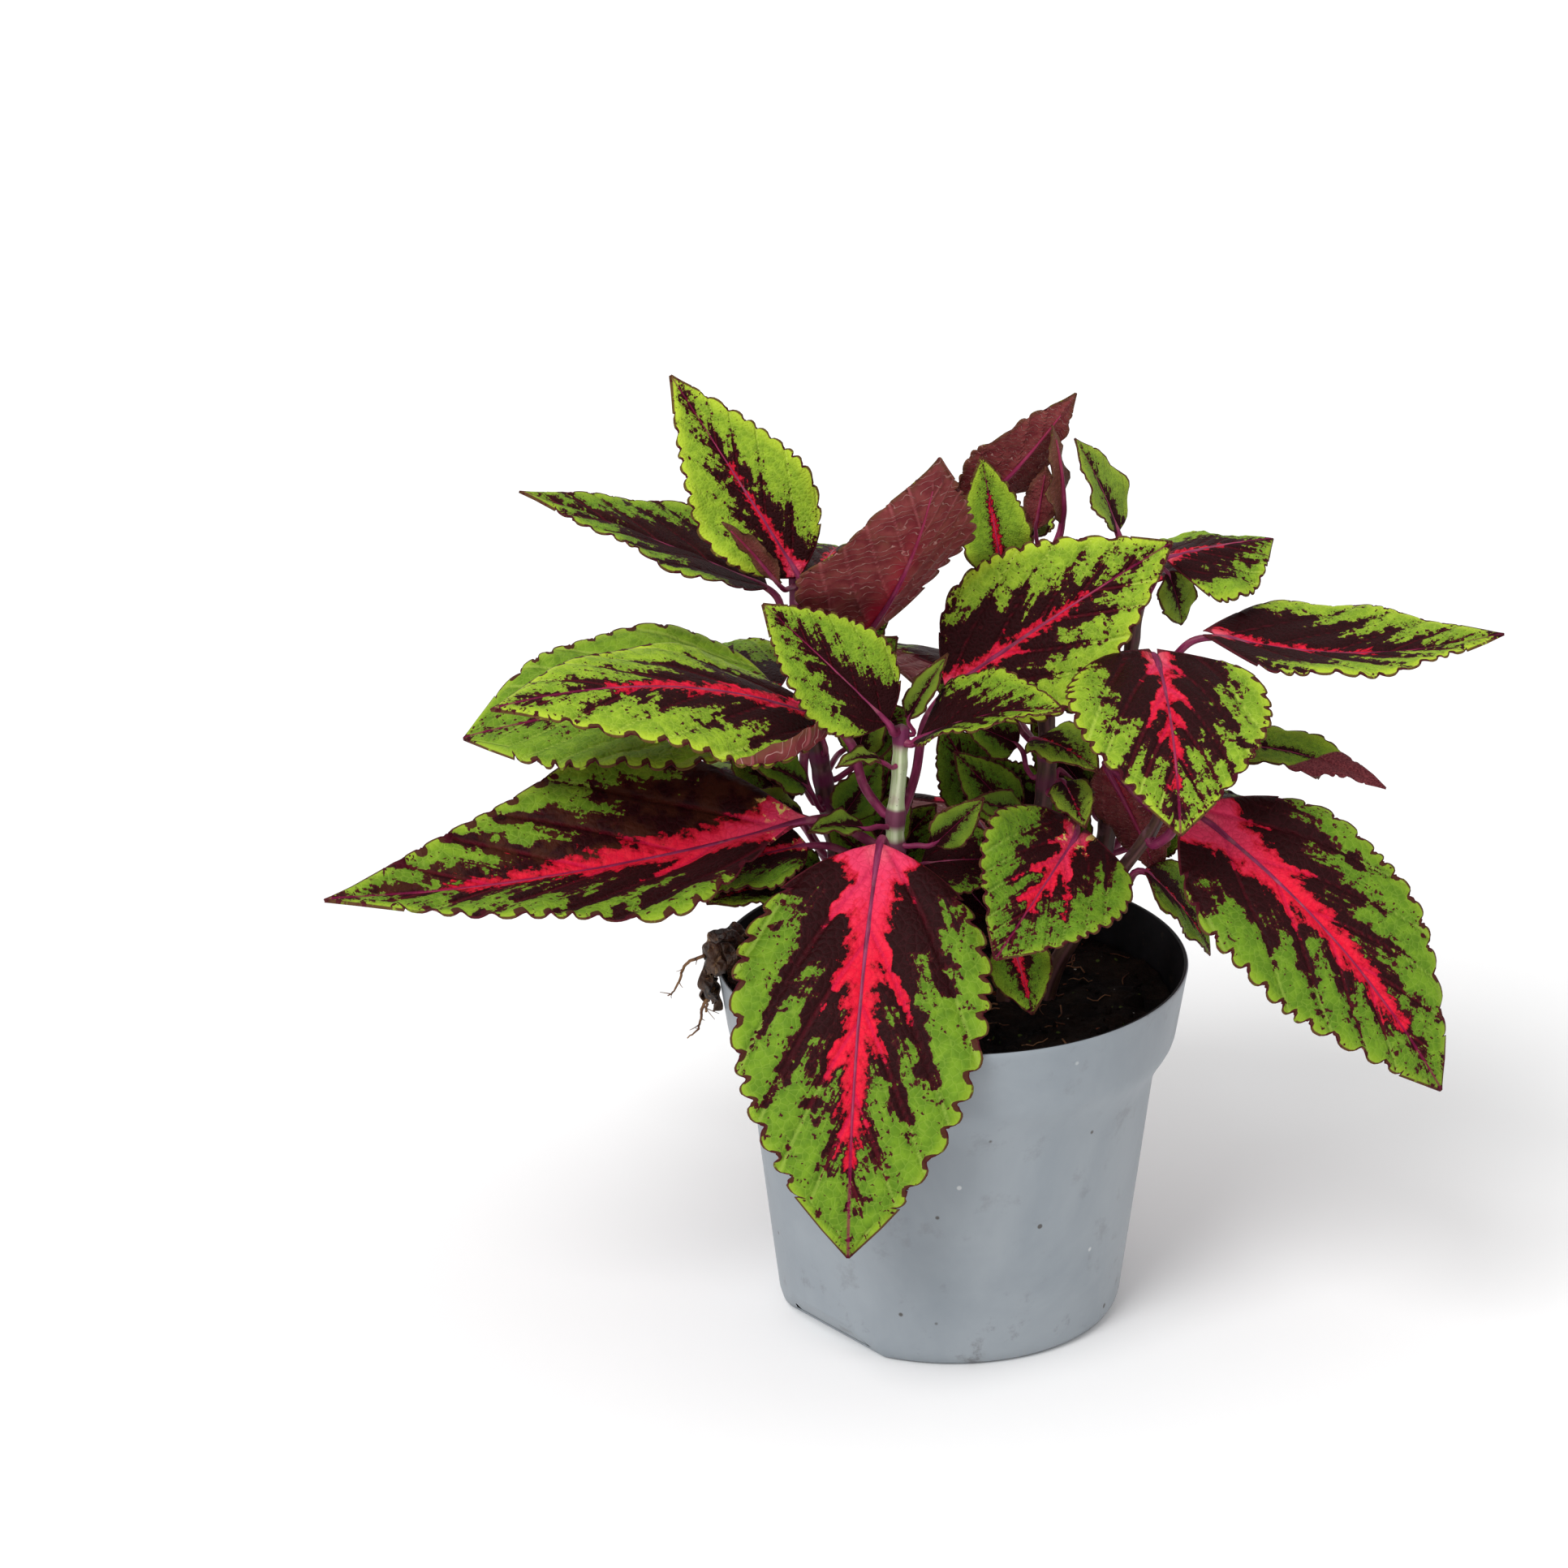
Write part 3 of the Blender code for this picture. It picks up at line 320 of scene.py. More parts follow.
# Small inner leaves that fill the gaps between the stems
INNER = (
    inner(1, "left", 126, (-28, 4, 131), (-18, -2, 150), 13, (0.1, -0.9, 0.3), teeth=7, dark=0.5, olive=0.15),
    inner(2, "left", 118, (-22, 5, 120), (-11, 7, 138), 14, (0.1, -0.9, 0.3), teeth=7, dark=0.7),
    inner(3, "left", 132, (-37, 2, 140), (-52, -3, 149), 12, (0, -0.6, 0.8), arch=2, teeth=7, dark=0.4),
    inner(4, "left", 146, (-33, 8, 153), (-24, 2, 168), 11, (-0.1, -0.9, 0.3), teeth=6, dark=0.4, olive=0.2),
    inner(5, "centre", 126, (16, 4, 131), (0, 6, 148), 15, (0.1, -0.9, 0.3), arch=2, teeth=8, stalk=0.8,
          dark=0.7),
    inner(6, "centre", 144, (16, 6, 150), (2, 2, 158), 13, (0, -0.8, 0.5), teeth=7, dark=0.6),
    inner(9, "centre", 132, (17, -9, 137), (4, -14, 143), 10, (0, -0.7, 0.6), teeth=6, stalk=0.6, dark=0.5,
          olive=0.3),
    inner(10, "right", 126, (34, 20, 132), (20, 22, 150), 16, (-0.1, -0.9, 0.3), teeth=8, stalk=0.8,
          dark=0.6),
    inner(11, "right", 150, (35, 18, 155), (24, 18, 170), 13, (0, -0.9, 0.3), teeth=7, dark=0.5),
    inner(12, "left", 156, (-28, 20, 160), (-14, 24, 172), 14, (0, -0.9, 0.4), teeth=7, dark=0.6),
    inner(13, "centre", 158, (14, 18, 163), (0, 22, 176), 14, (0, -0.9, 0.4), teeth=7, dark=0.6),
    inner(14, "right_low", 118, (34, -12, 123), (26, -18, 114), 11, (0, -0.7, 0.6), teeth=6, stalk=0.6,
          dark=0.5),
    inner(15, "right", 138, (48, 20, 143), (58, 28, 153), 13, (0, -0.8, 0.5), teeth=7, dark=0.5),
    inner(16, "centre", 186, (20.5, 27, 200), (23, 26, 217), 9, (0.2, 0.9, 0.2), teeth=6, stalk=0.6,
          dark=0.5),
    inner(17, "front", 118, (-20, -6, 122), (-32, 0, 131), 12, (0, -0.7, 0.6), teeth=6, dark=0.5),
    inner(18, "left", 104, (-20, 16, 110), (-4, 20, 128), 18, (0, -0.9, 0.3), teeth=8, stalk=0.8, dark=0.8),
    inner(19, "centre", 106, (24, 8, 112), (34, 16, 130), 16, (0, -0.9, 0.3), teeth=8, stalk=0.8, dark=0.7),
    inner(20, "front", 124, (-37, -12, 130), (-70, -21, 122), 29, (0, -0.35, 0.95), arch=2, teeth=9,
          stalk=1.0, core=2.4, branch=0.3, dark=0.7, fleck=0.9, light=-0.6),
    inner(21, "left", 118, (-41, 16, 130), (-57, 17, 147), 17, (0, -0.8, 0.5), teeth=8, stalk=0.8, dark=0.6,
          light=-0.85),
    inner(22, "left", 112, (-20, 12, 122), (-15, 9, 149), 16, (0.1, -0.95, 0.2), teeth=9, stalk=0.8, dark=0.5,
          light=-0.85),
    inner(23, "centre", 122, (10, 16, 128), (-3, 20, 150), 20, (0.1, -0.9, 0.3), arch=2, teeth=9, stalk=0.8,
          dark=0.7, light=-0.95),
    inner(25, "right", 132, (26, 8, 141), (30, 3, 124), 12, (0, -0.9, 0.4), teeth=8, stalk=0.8, dark=0.5,
          light=-0.65),
    inner(26, "centre", 120, (19, 10, 128), (7, 7, 146), 20, (0.1, -0.9, 0.4), teeth=9, stalk=0.8, dark=0.8,
          light=-0.85),
    inner(27, "front", 116, (-8, -5, 122), (15, -8, 124), 22, (0, -0.7, 0.7), arch=2, teeth=9, stalk=0.8,
          light=-0.85),
    inner(28, "centre", 152, (12, 14, 158), (-6, 12, 166), 18, (0, -0.8, 0.5), arch=2, teeth=8, stalk=0.8,
          dark=0.8, light=-0.85),
    inner(29, "left", 140, (-27, 23, 142), (-10, 21, 153), 18, (0, -0.8, 0.5), arch=2, teeth=8, stalk=0.8,
          dark=0.7, light=-0.95),
    inner(30, "left", 98, (-18, 2, 104), (-2, -8, 116), 22, (0, -0.8, 0.5), arch=2, teeth=9, stalk=0.9,
          core=2.2, branch=0.3, dark=0.8),
    inner(31, "centre", 98, (10, 4, 104), (-6, 8, 122), 22, (0, -0.9, 0.3), arch=2, teeth=9, stalk=0.9,
          light=-0.85),
    inner(33, "right", 118, (47, 13, 120), (61, 9, 133), 15, (0, -0.9, 0.3), arch=2, teeth=9, stalk=0.9,
          dark=0.8, light=-0.85),
    inner(34, "left", 168, (-31, 16, 172), (-16, 16, 182), 16, (0, -0.9, 0.4), teeth=8, dark=0.8),
    inner(35, "left", 106, (-34, 9, 108), (-51, 5, 119), 18, (0, -0.8, 0.5), arch=2, teeth=9, stalk=0.8,
          dark=0.8, light=-0.85),
)

# The same withered leaf and roots as in the CAD source
WITHERED_PATH = ((51, 84), (50, 91), (51.5, 98), (55, 102), (59.5, 100.5), (61.6, 95.5), (59.7, 89),
                 (59.0, 83))
WITHERED_ANGLE = 184.0
WITHERED_WIDTH = 13.0
WITHERED_CRUMPLE = 2.0
ROOTS = (
    (6, 0.5, ((-3, -1, -5), (-4, -2, -10), (-7, -3, -13))),
    (5, -0.5, ((-5, 1, -3), (-7, 0, -8), (-9, 1, -12))),
    (6, -0.6, ((-2, 1, -6), (-3, 3, -11))),
)
# Corners of its torn flaps: outward, sideways and up
WITHERED_FLAPS = (
    ((50.5, 6.2, 87), (57.6, 6.8, 86), (50.0, 5.6, 102), (59.0, 6.4, 103.5)),
    ((51.5, 2.0, 88), (57.5, 1.0, 85), (50.5, 1.0, 104), (59.5, 2.5, 103)),
    ((51.0, -4.0, 86), (57.0, -5.5, 88), (51.5, -5.0, 99), (59.0, -4.0, 101)),
    ((56.5, 7.2, 95.5), (63.0, 6.0, 93), (55.0, 6.5, 104), (62.4, 5.4, 103)),
    ((60.7, 6.4, 84), (64.0, 3.6, 85), (60.9, 6.2, 97), (63.8, 3.8, 99)),
    ((60.7, 1.0, 84), (63.6, 4.4, 86), (61.0, 0.8, 97), (63.6, 5.0, 98)),
)
FLAP_HALF = 0.22
TWIGS = 5


def hash_of(name):
    """The same small number for the same name in every run."""
    return sum((index + 3) * ord(letter) for index, letter in enumerate(name)) % 997


def unit(vectors):
    return vectors / np.maximum(np.linalg.norm(vectors, axis=-1, keepdims=True), 1e-9)


def soft_noise(points, scale, seed, waves=28):
    """Smooth pseudo-random field of about -1 to 1 at points in mm, with bumps about scale mm wide."""
    dice = np.random.default_rng(seed)
    turn = unit(dice.normal(size=(waves, 3)))
    pace = 2 * np.pi / (scale * dice.uniform(0.8, 2.2, (waves, 1)))
    phase = dice.uniform(0, 2 * np.pi, waves)
    return np.sin(np.asarray(points) @ (turn * pace).T + phase).sum(-1) / math.sqrt(waves / 2) / 1.6


def vectors(*parts):
    """Three numbers or grids of numbers as one grid of vectors."""
    return np.stack(np.broadcast_arrays(*parts), -1)


def sheet_normal(points):
    """Unit normals of a grid of points."""
    return unit(np.cross(np.gradient(points, axis=1), np.gradient(points, axis=0)))


def walked(path):
    """Length along a path up to each of its points."""
    return np.concatenate([[0], np.cumsum(np.linalg.norm(np.diff(path, axis=0), axis=1))])


def turned_axes(angle):
    """Outward, sideways and upward directions at an angle in degrees about Z."""
    turn = math.radians(angle)
    return np.array([[math.cos(turn), math.sin(turn), 0.0], [-math.sin(turn), math.cos(turn), 0.0],
                     [0.0, 0.0, 1.0]])


def placed(name, data):
    """New object in the scene, from a mesh, a light or a camera."""
    item = bpy.data.objects.new(name, data)
    bpy.context.scene.collection.objects.link(item)
    return item


class Bits:
    """Collects the surfaces of one piece, with their material slots and pattern fields."""

    FIELDS = ("place", "zone", "edge", "look", "mark")

    def __init__(self):
        self.verts, self.faces, self.slots, self.count = [], [], [], 0
        self.fields = {name: [] for name in self.FIELDS}

    def add(self, verts, faces, slots, **fields):
        verts = np.asarray(verts, float).reshape(-1, 3)
        for group, slot in zip(faces, slots):
            if len(group):
                self.faces.append(np.asarray(group) + self.count)
                self.slots.append(np.broadcast_to(slot, len(group)))
        for name in self.FIELDS:
            value = fields.get(name)
            value = np.zeros_like(verts) if value is None else np.broadcast_to(value, verts.shape)
            self.fields[name].append(value)
        self.verts.append(verts)
        self.count += len(verts)

    def build(self, name, materials):
        mesh = bpy.data.meshes.new(name)
        verts = np.concatenate(self.verts) * MM
        mesh.vertices.add(len(verts))
        mesh.vertices.foreach_set("co", verts.ravel())
        loops = np.concatenate([group.ravel() for group in self.faces])
        sizes = np.concatenate([np.full(len(group), group.shape[1]) for group in self.faces])
        mesh.loops.add(len(loops))
        mesh.loops.foreach_set("vertex_index", loops.astype(np.int32))
        mesh.polygons.add(len(sizes))
        starts = np.concatenate([[0], np.cumsum(sizes)[:-1]])
        mesh.polygons.foreach_set("loop_start", starts.astype(np.int32))
        mesh.polygons.foreach_set("material_index", np.concatenate(self.slots).astype(np.int32))
        mesh.update(calc_edges=True)
        for field, values in self.fields.items():
            layer = mesh.attributes.new(field, "FLOAT_VECTOR", "POINT")
            layer.data.foreach_set("vector", np.concatenate(values).astype(np.float32).ravel())
        for item in materials:
            mesh.materials.append(item)
        mesh.shade_smooth()
        return placed(name, mesh)


def grid_faces(rows, columns, start=0, flip=False, loop=False):
    """Quads of a grid of vertices, row by row."""
    span = columns if loop else columns - 1
    i, j = np.meshgrid(np.arange(rows - 1), np.arange(span), indexing="ij")
    k = (j + 1) % columns
    faces = np.stack([i * columns + j, i * columns + k, (i + 1) * columns + k, (i + 1) * columns + j], -1)
    faces = faces.reshape(-1, 4) + start
    return faces[:, ::-1] if flip else faces


def end_caps(rings, sides):
    """Triangles that close a tube of rings, with its two end points after the rings' vertices."""
    j = np.arange(sides)
    k = (j + 1) % sides
    last, count = (rings - 1) * sides, rings * sides
    return np.concatenate([np.stack([k, j, np.full(sides, count)], -1),
                           np.stack([last + j, last + k, np.full(sides, count + 1)], -1)])


def add_sheet(bits, top, bottom, slots, **fields):
    """Closed sheet between two grids of points; the slots are those of its top, underside and rim."""
    rows, columns = top.shape[:2]
    below = rows * columns
    index = np.arange(below).reshape(rows, columns)
    ring = np.concatenate([index[0, :-1], index[:-1, -1], index[-1, :0:-1], index[:0:-1, 0]])
    after = np.roll(ring, -1)
    rim = np.stack([ring, ring + below, after + below, after], -1)
    both = {name: np.concatenate([value.reshape(-1, 3)] * 2) for name, value in fields.items()}
    verts = np.concatenate([top.reshape(-1, 3), bottom.reshape(-1, 3)])
    faces = (grid_faces(rows, columns), grid_faces(rows, columns, below, flip=True), rim)
    bits.add(verts, faces, slots, **both)


def stem_radius(stem, height):
    points, foot, tip = STEMS[stem]
    share = (height - points[0][2]) / (points[-1][2] - points[0][2])
    return foot + (tip - foot) * min(max(share, 0.0), 1.0)


def stem_axis(stem, height):
    points = np.array(STEMS[stem][0], float)
    return np.array([np.interp(height, points[:, 2], points[:, axis]) for axis in range(3)])


def outline(u, point, heel):
    """Half width of a blade along its length, as a share of the widest half width."""
    near = 1 - (1 - np.clip(u / WIDEST, 0, 1)) ** 2.3
    far = 1 - np.clip((u - WIDEST) / (1 - WIDEST), 0, 1) ** point
    return np.where(u < WIDEST, near ** heel, far)


def blade_frame(leaf, u):
    """Middle line, its direction, the side direction and the upper side, along the blade."""
    base = np.array(leaf.base, float)
    chord = np.array(leaf.tip, float) - base
    length = np.linalg.norm(chord)
    axis = chord / length
    face = np.array(leaf.face, float)
    face = unit(face - axis * np.dot(face, axis))
    middle = base + chord * u + face * leaf.arch * 4 * u * (1 - u)
    along = unit(chord + face * leaf.arch * 4 * (1 - 2 * u))
    side = unit(np.cross(along, face))
    middle = middle + side * leaf.bow * 4 * u * (1 - u)
    return middle, along, side, np.cross(side, along), length


def blade_points(leaf, u, v, cut=0.0):
    """Points of the blade's middle surface, how far each lies from the midrib, and the half width."""
    u = np.asarray(u, float)
    v = np.asarray(v, float)
    middle, along, side, up, length = blade_frame(leaf, u[..., None])
    share = outline(u, leaf.point, leaf.heel + leaf.waist * (v < 0))
    half = np.maximum(leaf.width / 2 * share, BASE_HALF + (TIP_HALF - BASE_HALF) * u)
    depth = TOOTH_DEPTH * length * leaf.cut * cut * np.clip(2.2 * share, 0, 1)
    across = v * (half - depth * np.abs(v) ** 6)
    reach = np.abs(across)
    fold = math.radians(leaf.fold)
    rise = reach * math.sin(fold) - leaf.curl * (reach / (leaf.width / 2)) ** 2
    ripple = np.sin(2 * np.pi * (2.6 * u + 0.23 * np.sign(v))) * np.abs(v) ** 2 * share
    back = leaf.lobe * np.abs(v) ** 1.5 * np.clip(1 - u / 0.4, 0, 1) ** 2
    rise, ripple, back = (value[..., None] for value in (rise, ripple, back))
    points = middle + side * across[..., None] * math.cos(fold) + up * (rise + ripple) - along * back
    return points, across, half


def tooth_share(leaf, t):
    along = np.clip((t - TEETH_FROM) / (TEETH_TO - TEETH_FROM), 0, 1) * leaf.teeth
    inside = (t > TEETH_FROM) & (t < TEETH_TO)
    share = along - np.floor(along)
    lean = 1.2 + 0.9 * t
    depth = 1.0 + 0.5 * t
    return np.where(inside, depth * (1 - np.sin(np.pi * share ** lean)) ** 1.6, 0.0)


def vein_fields(leaf, across, length, u, dice):
    """Side veins: distance to the nearest, its place along the midrib, and the red and dark zones.

    Distances are in pattern units.
    """
    unit_size = leaf.width / 2 / FULL_HALF
    reach = np.abs(across)
    start = u * length - VEIN_SLOPE * reach - VEIN_BEND / length * reach ** 2
    start = start / (1 + VEIN_SPLAY * reach / length) / length
    slope = VEIN_SLOPE + VEIN_SPLAY * np.clip(start, -0.3, 1) + 2 * VEIN_BEND * reach / length
    lean = 1 / np.sqrt(1 + slope ** 2)
    far = np.full(across.shape, 1e9)
    branch = np.zeros(across.shape)
    streak = np.ones(across.shape)
    spots = vectors(across / unit_size, u * length / unit_size, 0.0)
    ragged = soft_noise(spots, 5.0, int(dice.integers(1000))) + 0.6 * soft_noise(spots, 2.6, 5)
    for side, offset in ((-1, 0.0), (1, 0.06)):
        here = across * side >= 0
        for index in range(-1, len(BRANCHES)):
            place = offset + VEIN_STEP * index + dice.uniform(-0.018, 0.018)
            gap = np.abs(start - place) * length * lean / unit_size
            far = np.where(here, np.minimum(far, gap), far)
            out = BRANCHES[max(index, 0)] * FULL_HALF * dice.uniform(0.7, 1.2)
            out *= leaf.branch * (0.55 if index < 0 else 1.0)
            arm = out * np.exp(-((gap + 0.8 * ragged) / 2.1) ** 2)
            branch = np.where(here, np.maximum(branch, arm), branch)
            tip = dice.uniform(0.86, 1.08)
            streak = np.where(here & (gap <= far + 1e-6), tip, streak)
    reach = reach / unit_size
    fade = 9 * np.clip((u / leaf.until - 0.93) / 0.1, 0, 1)
    middle = leaf.core * np.interp(u / leaf.until, *zip(*CENTRE))
    core = np.maximum(middle, branch * (leaf.core > 1.0) - 1.3) - fade - reach
    if leaf.core <= 0:
        core = -6.0 - reach
    wide = np.where(start > 0, 0.52 - 0.7 * start, 0.52 + 0.8 * np.abs(start))
    streak = streak * (0.84 - 0.88 * np.maximum(start, 0))
    dark = wide + (streak - wide) * np.exp(-((far + 1.1 * ragged) / 1.9) ** 2)
    dark = dark * FULL_HALF * leaf.dark - reach
    line = 1.2 * np.clip((0.93 - u) / 0.2, 0, 1) - reach
    return far, start * length / unit_size, reach, core, np.maximum(dark, line), unit_size


def leaf_grid(leaf, seed):
    """Stations along and across the blade, with the teeth of its two sides out of step."""
    dice = np.random.default_rng(seed)
    step = (TEETH_TO - TEETH_FROM) / leaf.teeth
    length = np.linalg.norm(np.array(leaf.tip, float) - np.array(leaf.base, float))
    shares = next(shares for least, shares in STATIONS if length > least)
    rows = list(np.linspace(0, TEETH_FROM, 8 if length > LONG_BLADE else 5)[:-1])
    for tooth in range(leaf.teeth):
        rows += [TEETH_FROM + (tooth + share) * step for share in shares]
    rows += [TEETH_TO, (TEETH_TO + 1) / 2, 1.0]
    count = max(5, round(leaf.width / 2 / COLUMN_WIDTH))
    q = np.linspace(0, 1, count + 1)
    q = q - 0.07 * np.sin(2 * np.pi * q)
    v = np.concatenate([-q[:0:-1], q])
    t, v = np.meshgrid(rows, v, indexing="ij")
    shift = np.zeros_like(t)
    for side, lead in ((-1, -0.24), (1, 0.24)):
        wander = lead + 0.3 * np.sin(2 * np.pi * (1.7 * t + dice.uniform())) \
            + 0.16 * np.sin(2 * np.pi * (3.9 * t + dice.uniform()))
        shift = np.where(v * side > 0, wander, shift)
    u = t + np.abs(v) ** 1.5 * shift * step * np.clip(4 * t * (1 - t) * 2, 0, 1)
    return t, np.clip(u, 0, 1), v, length, dice


def add_blade(bits, leaf, seed):
    """Blade with a cut edge, puckered between its side veins, closed all round."""
    t, u, v, length, dice = leaf_grid(leaf, seed)
    deep = tooth_share(leaf, t)
    cut = deep * dice.uniform(0.75, 1.15, t.shape[0])[:, None]
    points, across, half = blade_points(leaf, u, v, cut)
    vein, start, reach, core, dark, size = vein_fields(leaf, across, length, u, dice)
    rim = (1 - np.abs(v)) * half
    inside = np.clip(rim / (3.5 * size), 0, 1) * np.clip(reach / 3, 0, 1)
    pucker = 0.62 * size * (1 - np.exp(-(vein / 1.9) ** 2)) * inside * np.clip(u / 0.1, 0, 1)
    bend = 0.55 * size * np.abs(v) ** 8 * (1 - 1.5 * deep)
    uneven = 0.5 * size * soft_noise(points, 16 * size + 6, seed) * inside
    points = points + sheet_normal(points) * (pucker - bend + uneven)[..., None]
    normal = sheet_normal(points)
    thick = BLADE / 2 * (0.55 + 0.45 * np.clip(rim / 1.2, 0, 1))
    groove = 0.38 * size ** 0.5 * np.exp(-(reach * size / 0.75) ** 2) * np.clip((1 - u) / 0.3, 0, 1)
    crease = 0.16 * size * np.exp(-(vein / 0.8) ** 2) * inside
    top = points + normal * (thick - np.minimum(groove, thick * 1.4) - crease)[..., None]
    bottom = points - normal * (thick + crease)[..., None]
    notch = deep * np.clip(1.8 - rim / (1.8 * size ** 2 + 0.15), 0, 1)
    turned = np.zeros_like(u)
    if leaf.turned:
        turned = np.clip((u - leaf.turned[0]) * 6 + 0.8 * v * leaf.turned[1], 0, 1)
    add_sheet(bits, top, bottom, (BLADE_TOP, BLADE_UNDER, BLADE_TOP),
              place=vectors(reach * np.sign(v), u * length / size, seed * 7.3),
              zone=vectors(core, dark, notch),
              edge=vectors(rim, vein, reach),
              look=vectors(leaf.olive, leaf.brown * np.clip(across, -1, 1), leaf.fleck),
              mark=vectors(start, turned, leaf.light))


def add_roll(bits, leaf, seed):
    """Part of a blade's margin that is rolled up, so that its underside shows."""
    t, w = np.meshgrid(np.linspace(0, 1, 90), np.linspace(0, 1, 14), indexing="ij")
    u = ROLL_FROM + (ROLL_TO - ROLL_FROM) * t
    edge, _, _ = blade_points(leaf, u, np.full_like(u, 0.94 * ROLL_SIDE))
    _, _, out, up, length = blade_frame(leaf, u[..., None])
    teeth = np.abs(np.sin(np.pi * 4.5 * t ** 0.9)) ** 0.5
    tall = ROLL_HEIGHT * np.clip(np.sin(np.pi * t ** 0.8), 0, 1) ** 0.7 * (0.82 + 0.18 * teeth)
    lean = 1.1 * np.sin(np.pi * w) - 0.3 * tall * w ** 2
    points = edge + out * ROLL_SIDE * lean[..., None] + up * (tall * w - 0.3)[..., None]
    points = points + 0.35 * np.stack([soft_noise(points, 5.0, seed + axis) for axis in range(3)], -1)
    offset = sheet_normal(points) * (0.2 * (0.6 + 0.4 * (1 - w)))[..., None]
    add_sheet(bits, points + offset, points - offset, (BLADE_UNDER, BLADE_UNDER, BLADE_UNDER),
              place=vectors(12 + tall * w, u * length, seed),
              zone=np.full(u.shape + (3,), -9.0),
              edge=vectors(tall * (1 - w), 4 * np.abs(np.sin(7 * t)), 12 + tall * w))


def add_tube(bits, path, radii, slot, seed=0.0, sides=14, ridge=0.0, knobs=()):
    """Closed round tube through points in mm. A ridge makes it squarish; it swells at the knobs."""
    path = np.asarray(path, float)
    radii = np.asarray(radii, float)
    tangent = unit(np.gradient(path, axis=0))
    normal = np.zeros_like(path)
    normal[0] = unit(np.cross(tangent[0], (0, 0, 1.0) if abs(tangent[0][2]) < 0.8 else (0, 1.0, 0)))
    for i in range(1, len(path)):
        normal[i] = unit(normal[i - 1] - tangent[i] * np.dot(normal[i - 1], tangent[i]))
    binormal = np.cross(tangent, normal)
    turn = np.linspace(0, 2 * np.pi, sides, endpoint=False)
    corner = np.cos(4 * turn)[None, :]
    walk = walked(path)
    swell = np.zeros(len(path))
    for knob in knobs:
        swell += KNOB_SWELL * np.exp(-((walk - knob) / KNOB_SPREAD) ** 2)
    radius = radii[:, None] * (1 + ridge * corner + swell[:, None])
    ring = normal[:, None] * np.cos(turn)[None, :, None] + binormal[:, None] * np.sin(turn)[None, :, None]
    verts = (path[:, None] + ring * radius[..., None]).reshape(-1, 3)
    place = vectors(walk[:, None], turn[None] * radii.mean(), seed * 1.0)
    zone = vectors((walk / walk[-1])[:, None], corner, swell[:, None])
    place, zone = (np.concatenate([grid.reshape(-1, 3), grid[0, :1], grid[-1, :1]]) for grid in (place, zone))
    faces = (grid_faces(len(path), sides, loop=True), end_caps(len(path), sides))
    bits.add(np.concatenate([verts, path[:1], path[-1:]]), faces, (slot, slot), place=place, zone=zone)


def bezier(points, share):
    a, b, c, d = (np.array(point, float) for point in points)
    rest = 1 - share
    return a * rest ** 3 + 3 * b * share * rest ** 2 + 3 * c * share ** 2 * rest + d * share ** 3


def smooth_path(points, radii, spacing):
    """Denser points and radii on a smooth curve through the given ones."""
    points = np.asarray(points, float)
    ends = np.concatenate([2 * points[:1] - points[1:2], points, 2 * points[-1:] - points[-2:-1]])
    out, sizes = [], []
    for i in range(len(points) - 1):
        p0, p1, p2, p3 = ends[i:i + 4]
        steps = max(2, math.ceil(np.linalg.norm(p2 - p1) / spacing))
        for s in np.arange(steps) / steps:
            out.append(0.5 * (2 * p1 + (p2 - p0) * s + (2 * p0 - 5 * p1 + 4 * p2 - p3) * s ** 2
                              + (3 * p1 - p0 - 3 * p2 + p3) * s ** 3))
            sizes.append(radii[i] + (radii[i + 1] - radii[i]) * s)
    return np.array(out + [points[-1]]), np.array(sizes + [radii[-1]])


def add_stalk(bits, leaf, seed):
    """Leaf stalk from its stem to the blade, running on as the rib under the blade."""
    foot = stem_axis(leaf.stem, leaf.node)
    rise = unit(stem_axis(leaf.stem, leaf.node + 1) - stem_axis(leaf.stem, leaf.node - 1))
    base = np.array(leaf.base, float)
    out = unit(base - foot - rise * np.dot(base - foot, rise))
    radius = stem_radius(leaf.stem, leaf.node)
    first = foot + out * (radius + STALK_GAP)
    rib, _, _ = blade_points(leaf, [0.0, 0.06], [0.0, 0.0])
    along = unit(rib[1] - rib[0])
    reach = np.linalg.norm(base - first)
    lift = np.array([0, 0, 0.15 * reach])
    bend = first + out * 1.2
    handles = (bend, bend + out * reach * 0.3 + lift, base - along * reach * 0.35, base)
    points = [foot + out * radius * 0.75, first] + [bezier(handles, share) for share in (0.0, 0.33, 0.7)]
    radii = [leaf.stalk * 1.25, leaf.stalk * 1.12] + [leaf.stalk] * 3
    thick = leaf.stalk * 0.82
    for u in (0.02, 0.12, 0.25, 0.4, 0.55, 0.7, 0.85):
        middle, _, _, up, _ = blade_frame(leaf, np.array([u]))
        size = max(thick * (1 - u) ** 0.8, 0.16)
        points.append(middle - up * (0.1 + min(u / 0.12, 1) * (0.06 + size * 0.45)))
        radii.append(size)
    path, sizes = smooth_path(points, radii, 1.3)
    add_tube(bits, path, sizes, STALK, seed, sides=12)


def add_leaf(bits, leaf):
    seed = hash_of(leaf.name)
    add_blade(bits, leaf, seed)
    add_stalk(bits, leaf, seed)


def rgb(red, green, blue):
    """Linear colour from the usual 0 to 255 values."""
    return tuple(((c / 255 + 0.055) / 1.055) ** 2.4 if c > 10 else c / 255 / 12.92
                 for c in (red, green, blue))


class Value:
    """Output of a material's node. Sums and products of it add further nodes."""

    def __init__(self, graph, socket):
        self.graph, self.socket = graph, socket

    def __add__(self, other):
        return self.graph.math("ADD", self, other)

    def __sub__(self, other):
        return self.graph.math("SUBTRACT", self, other)

    def __mul__(self, other):
        return self.graph.math("MULTIPLY", self, other)


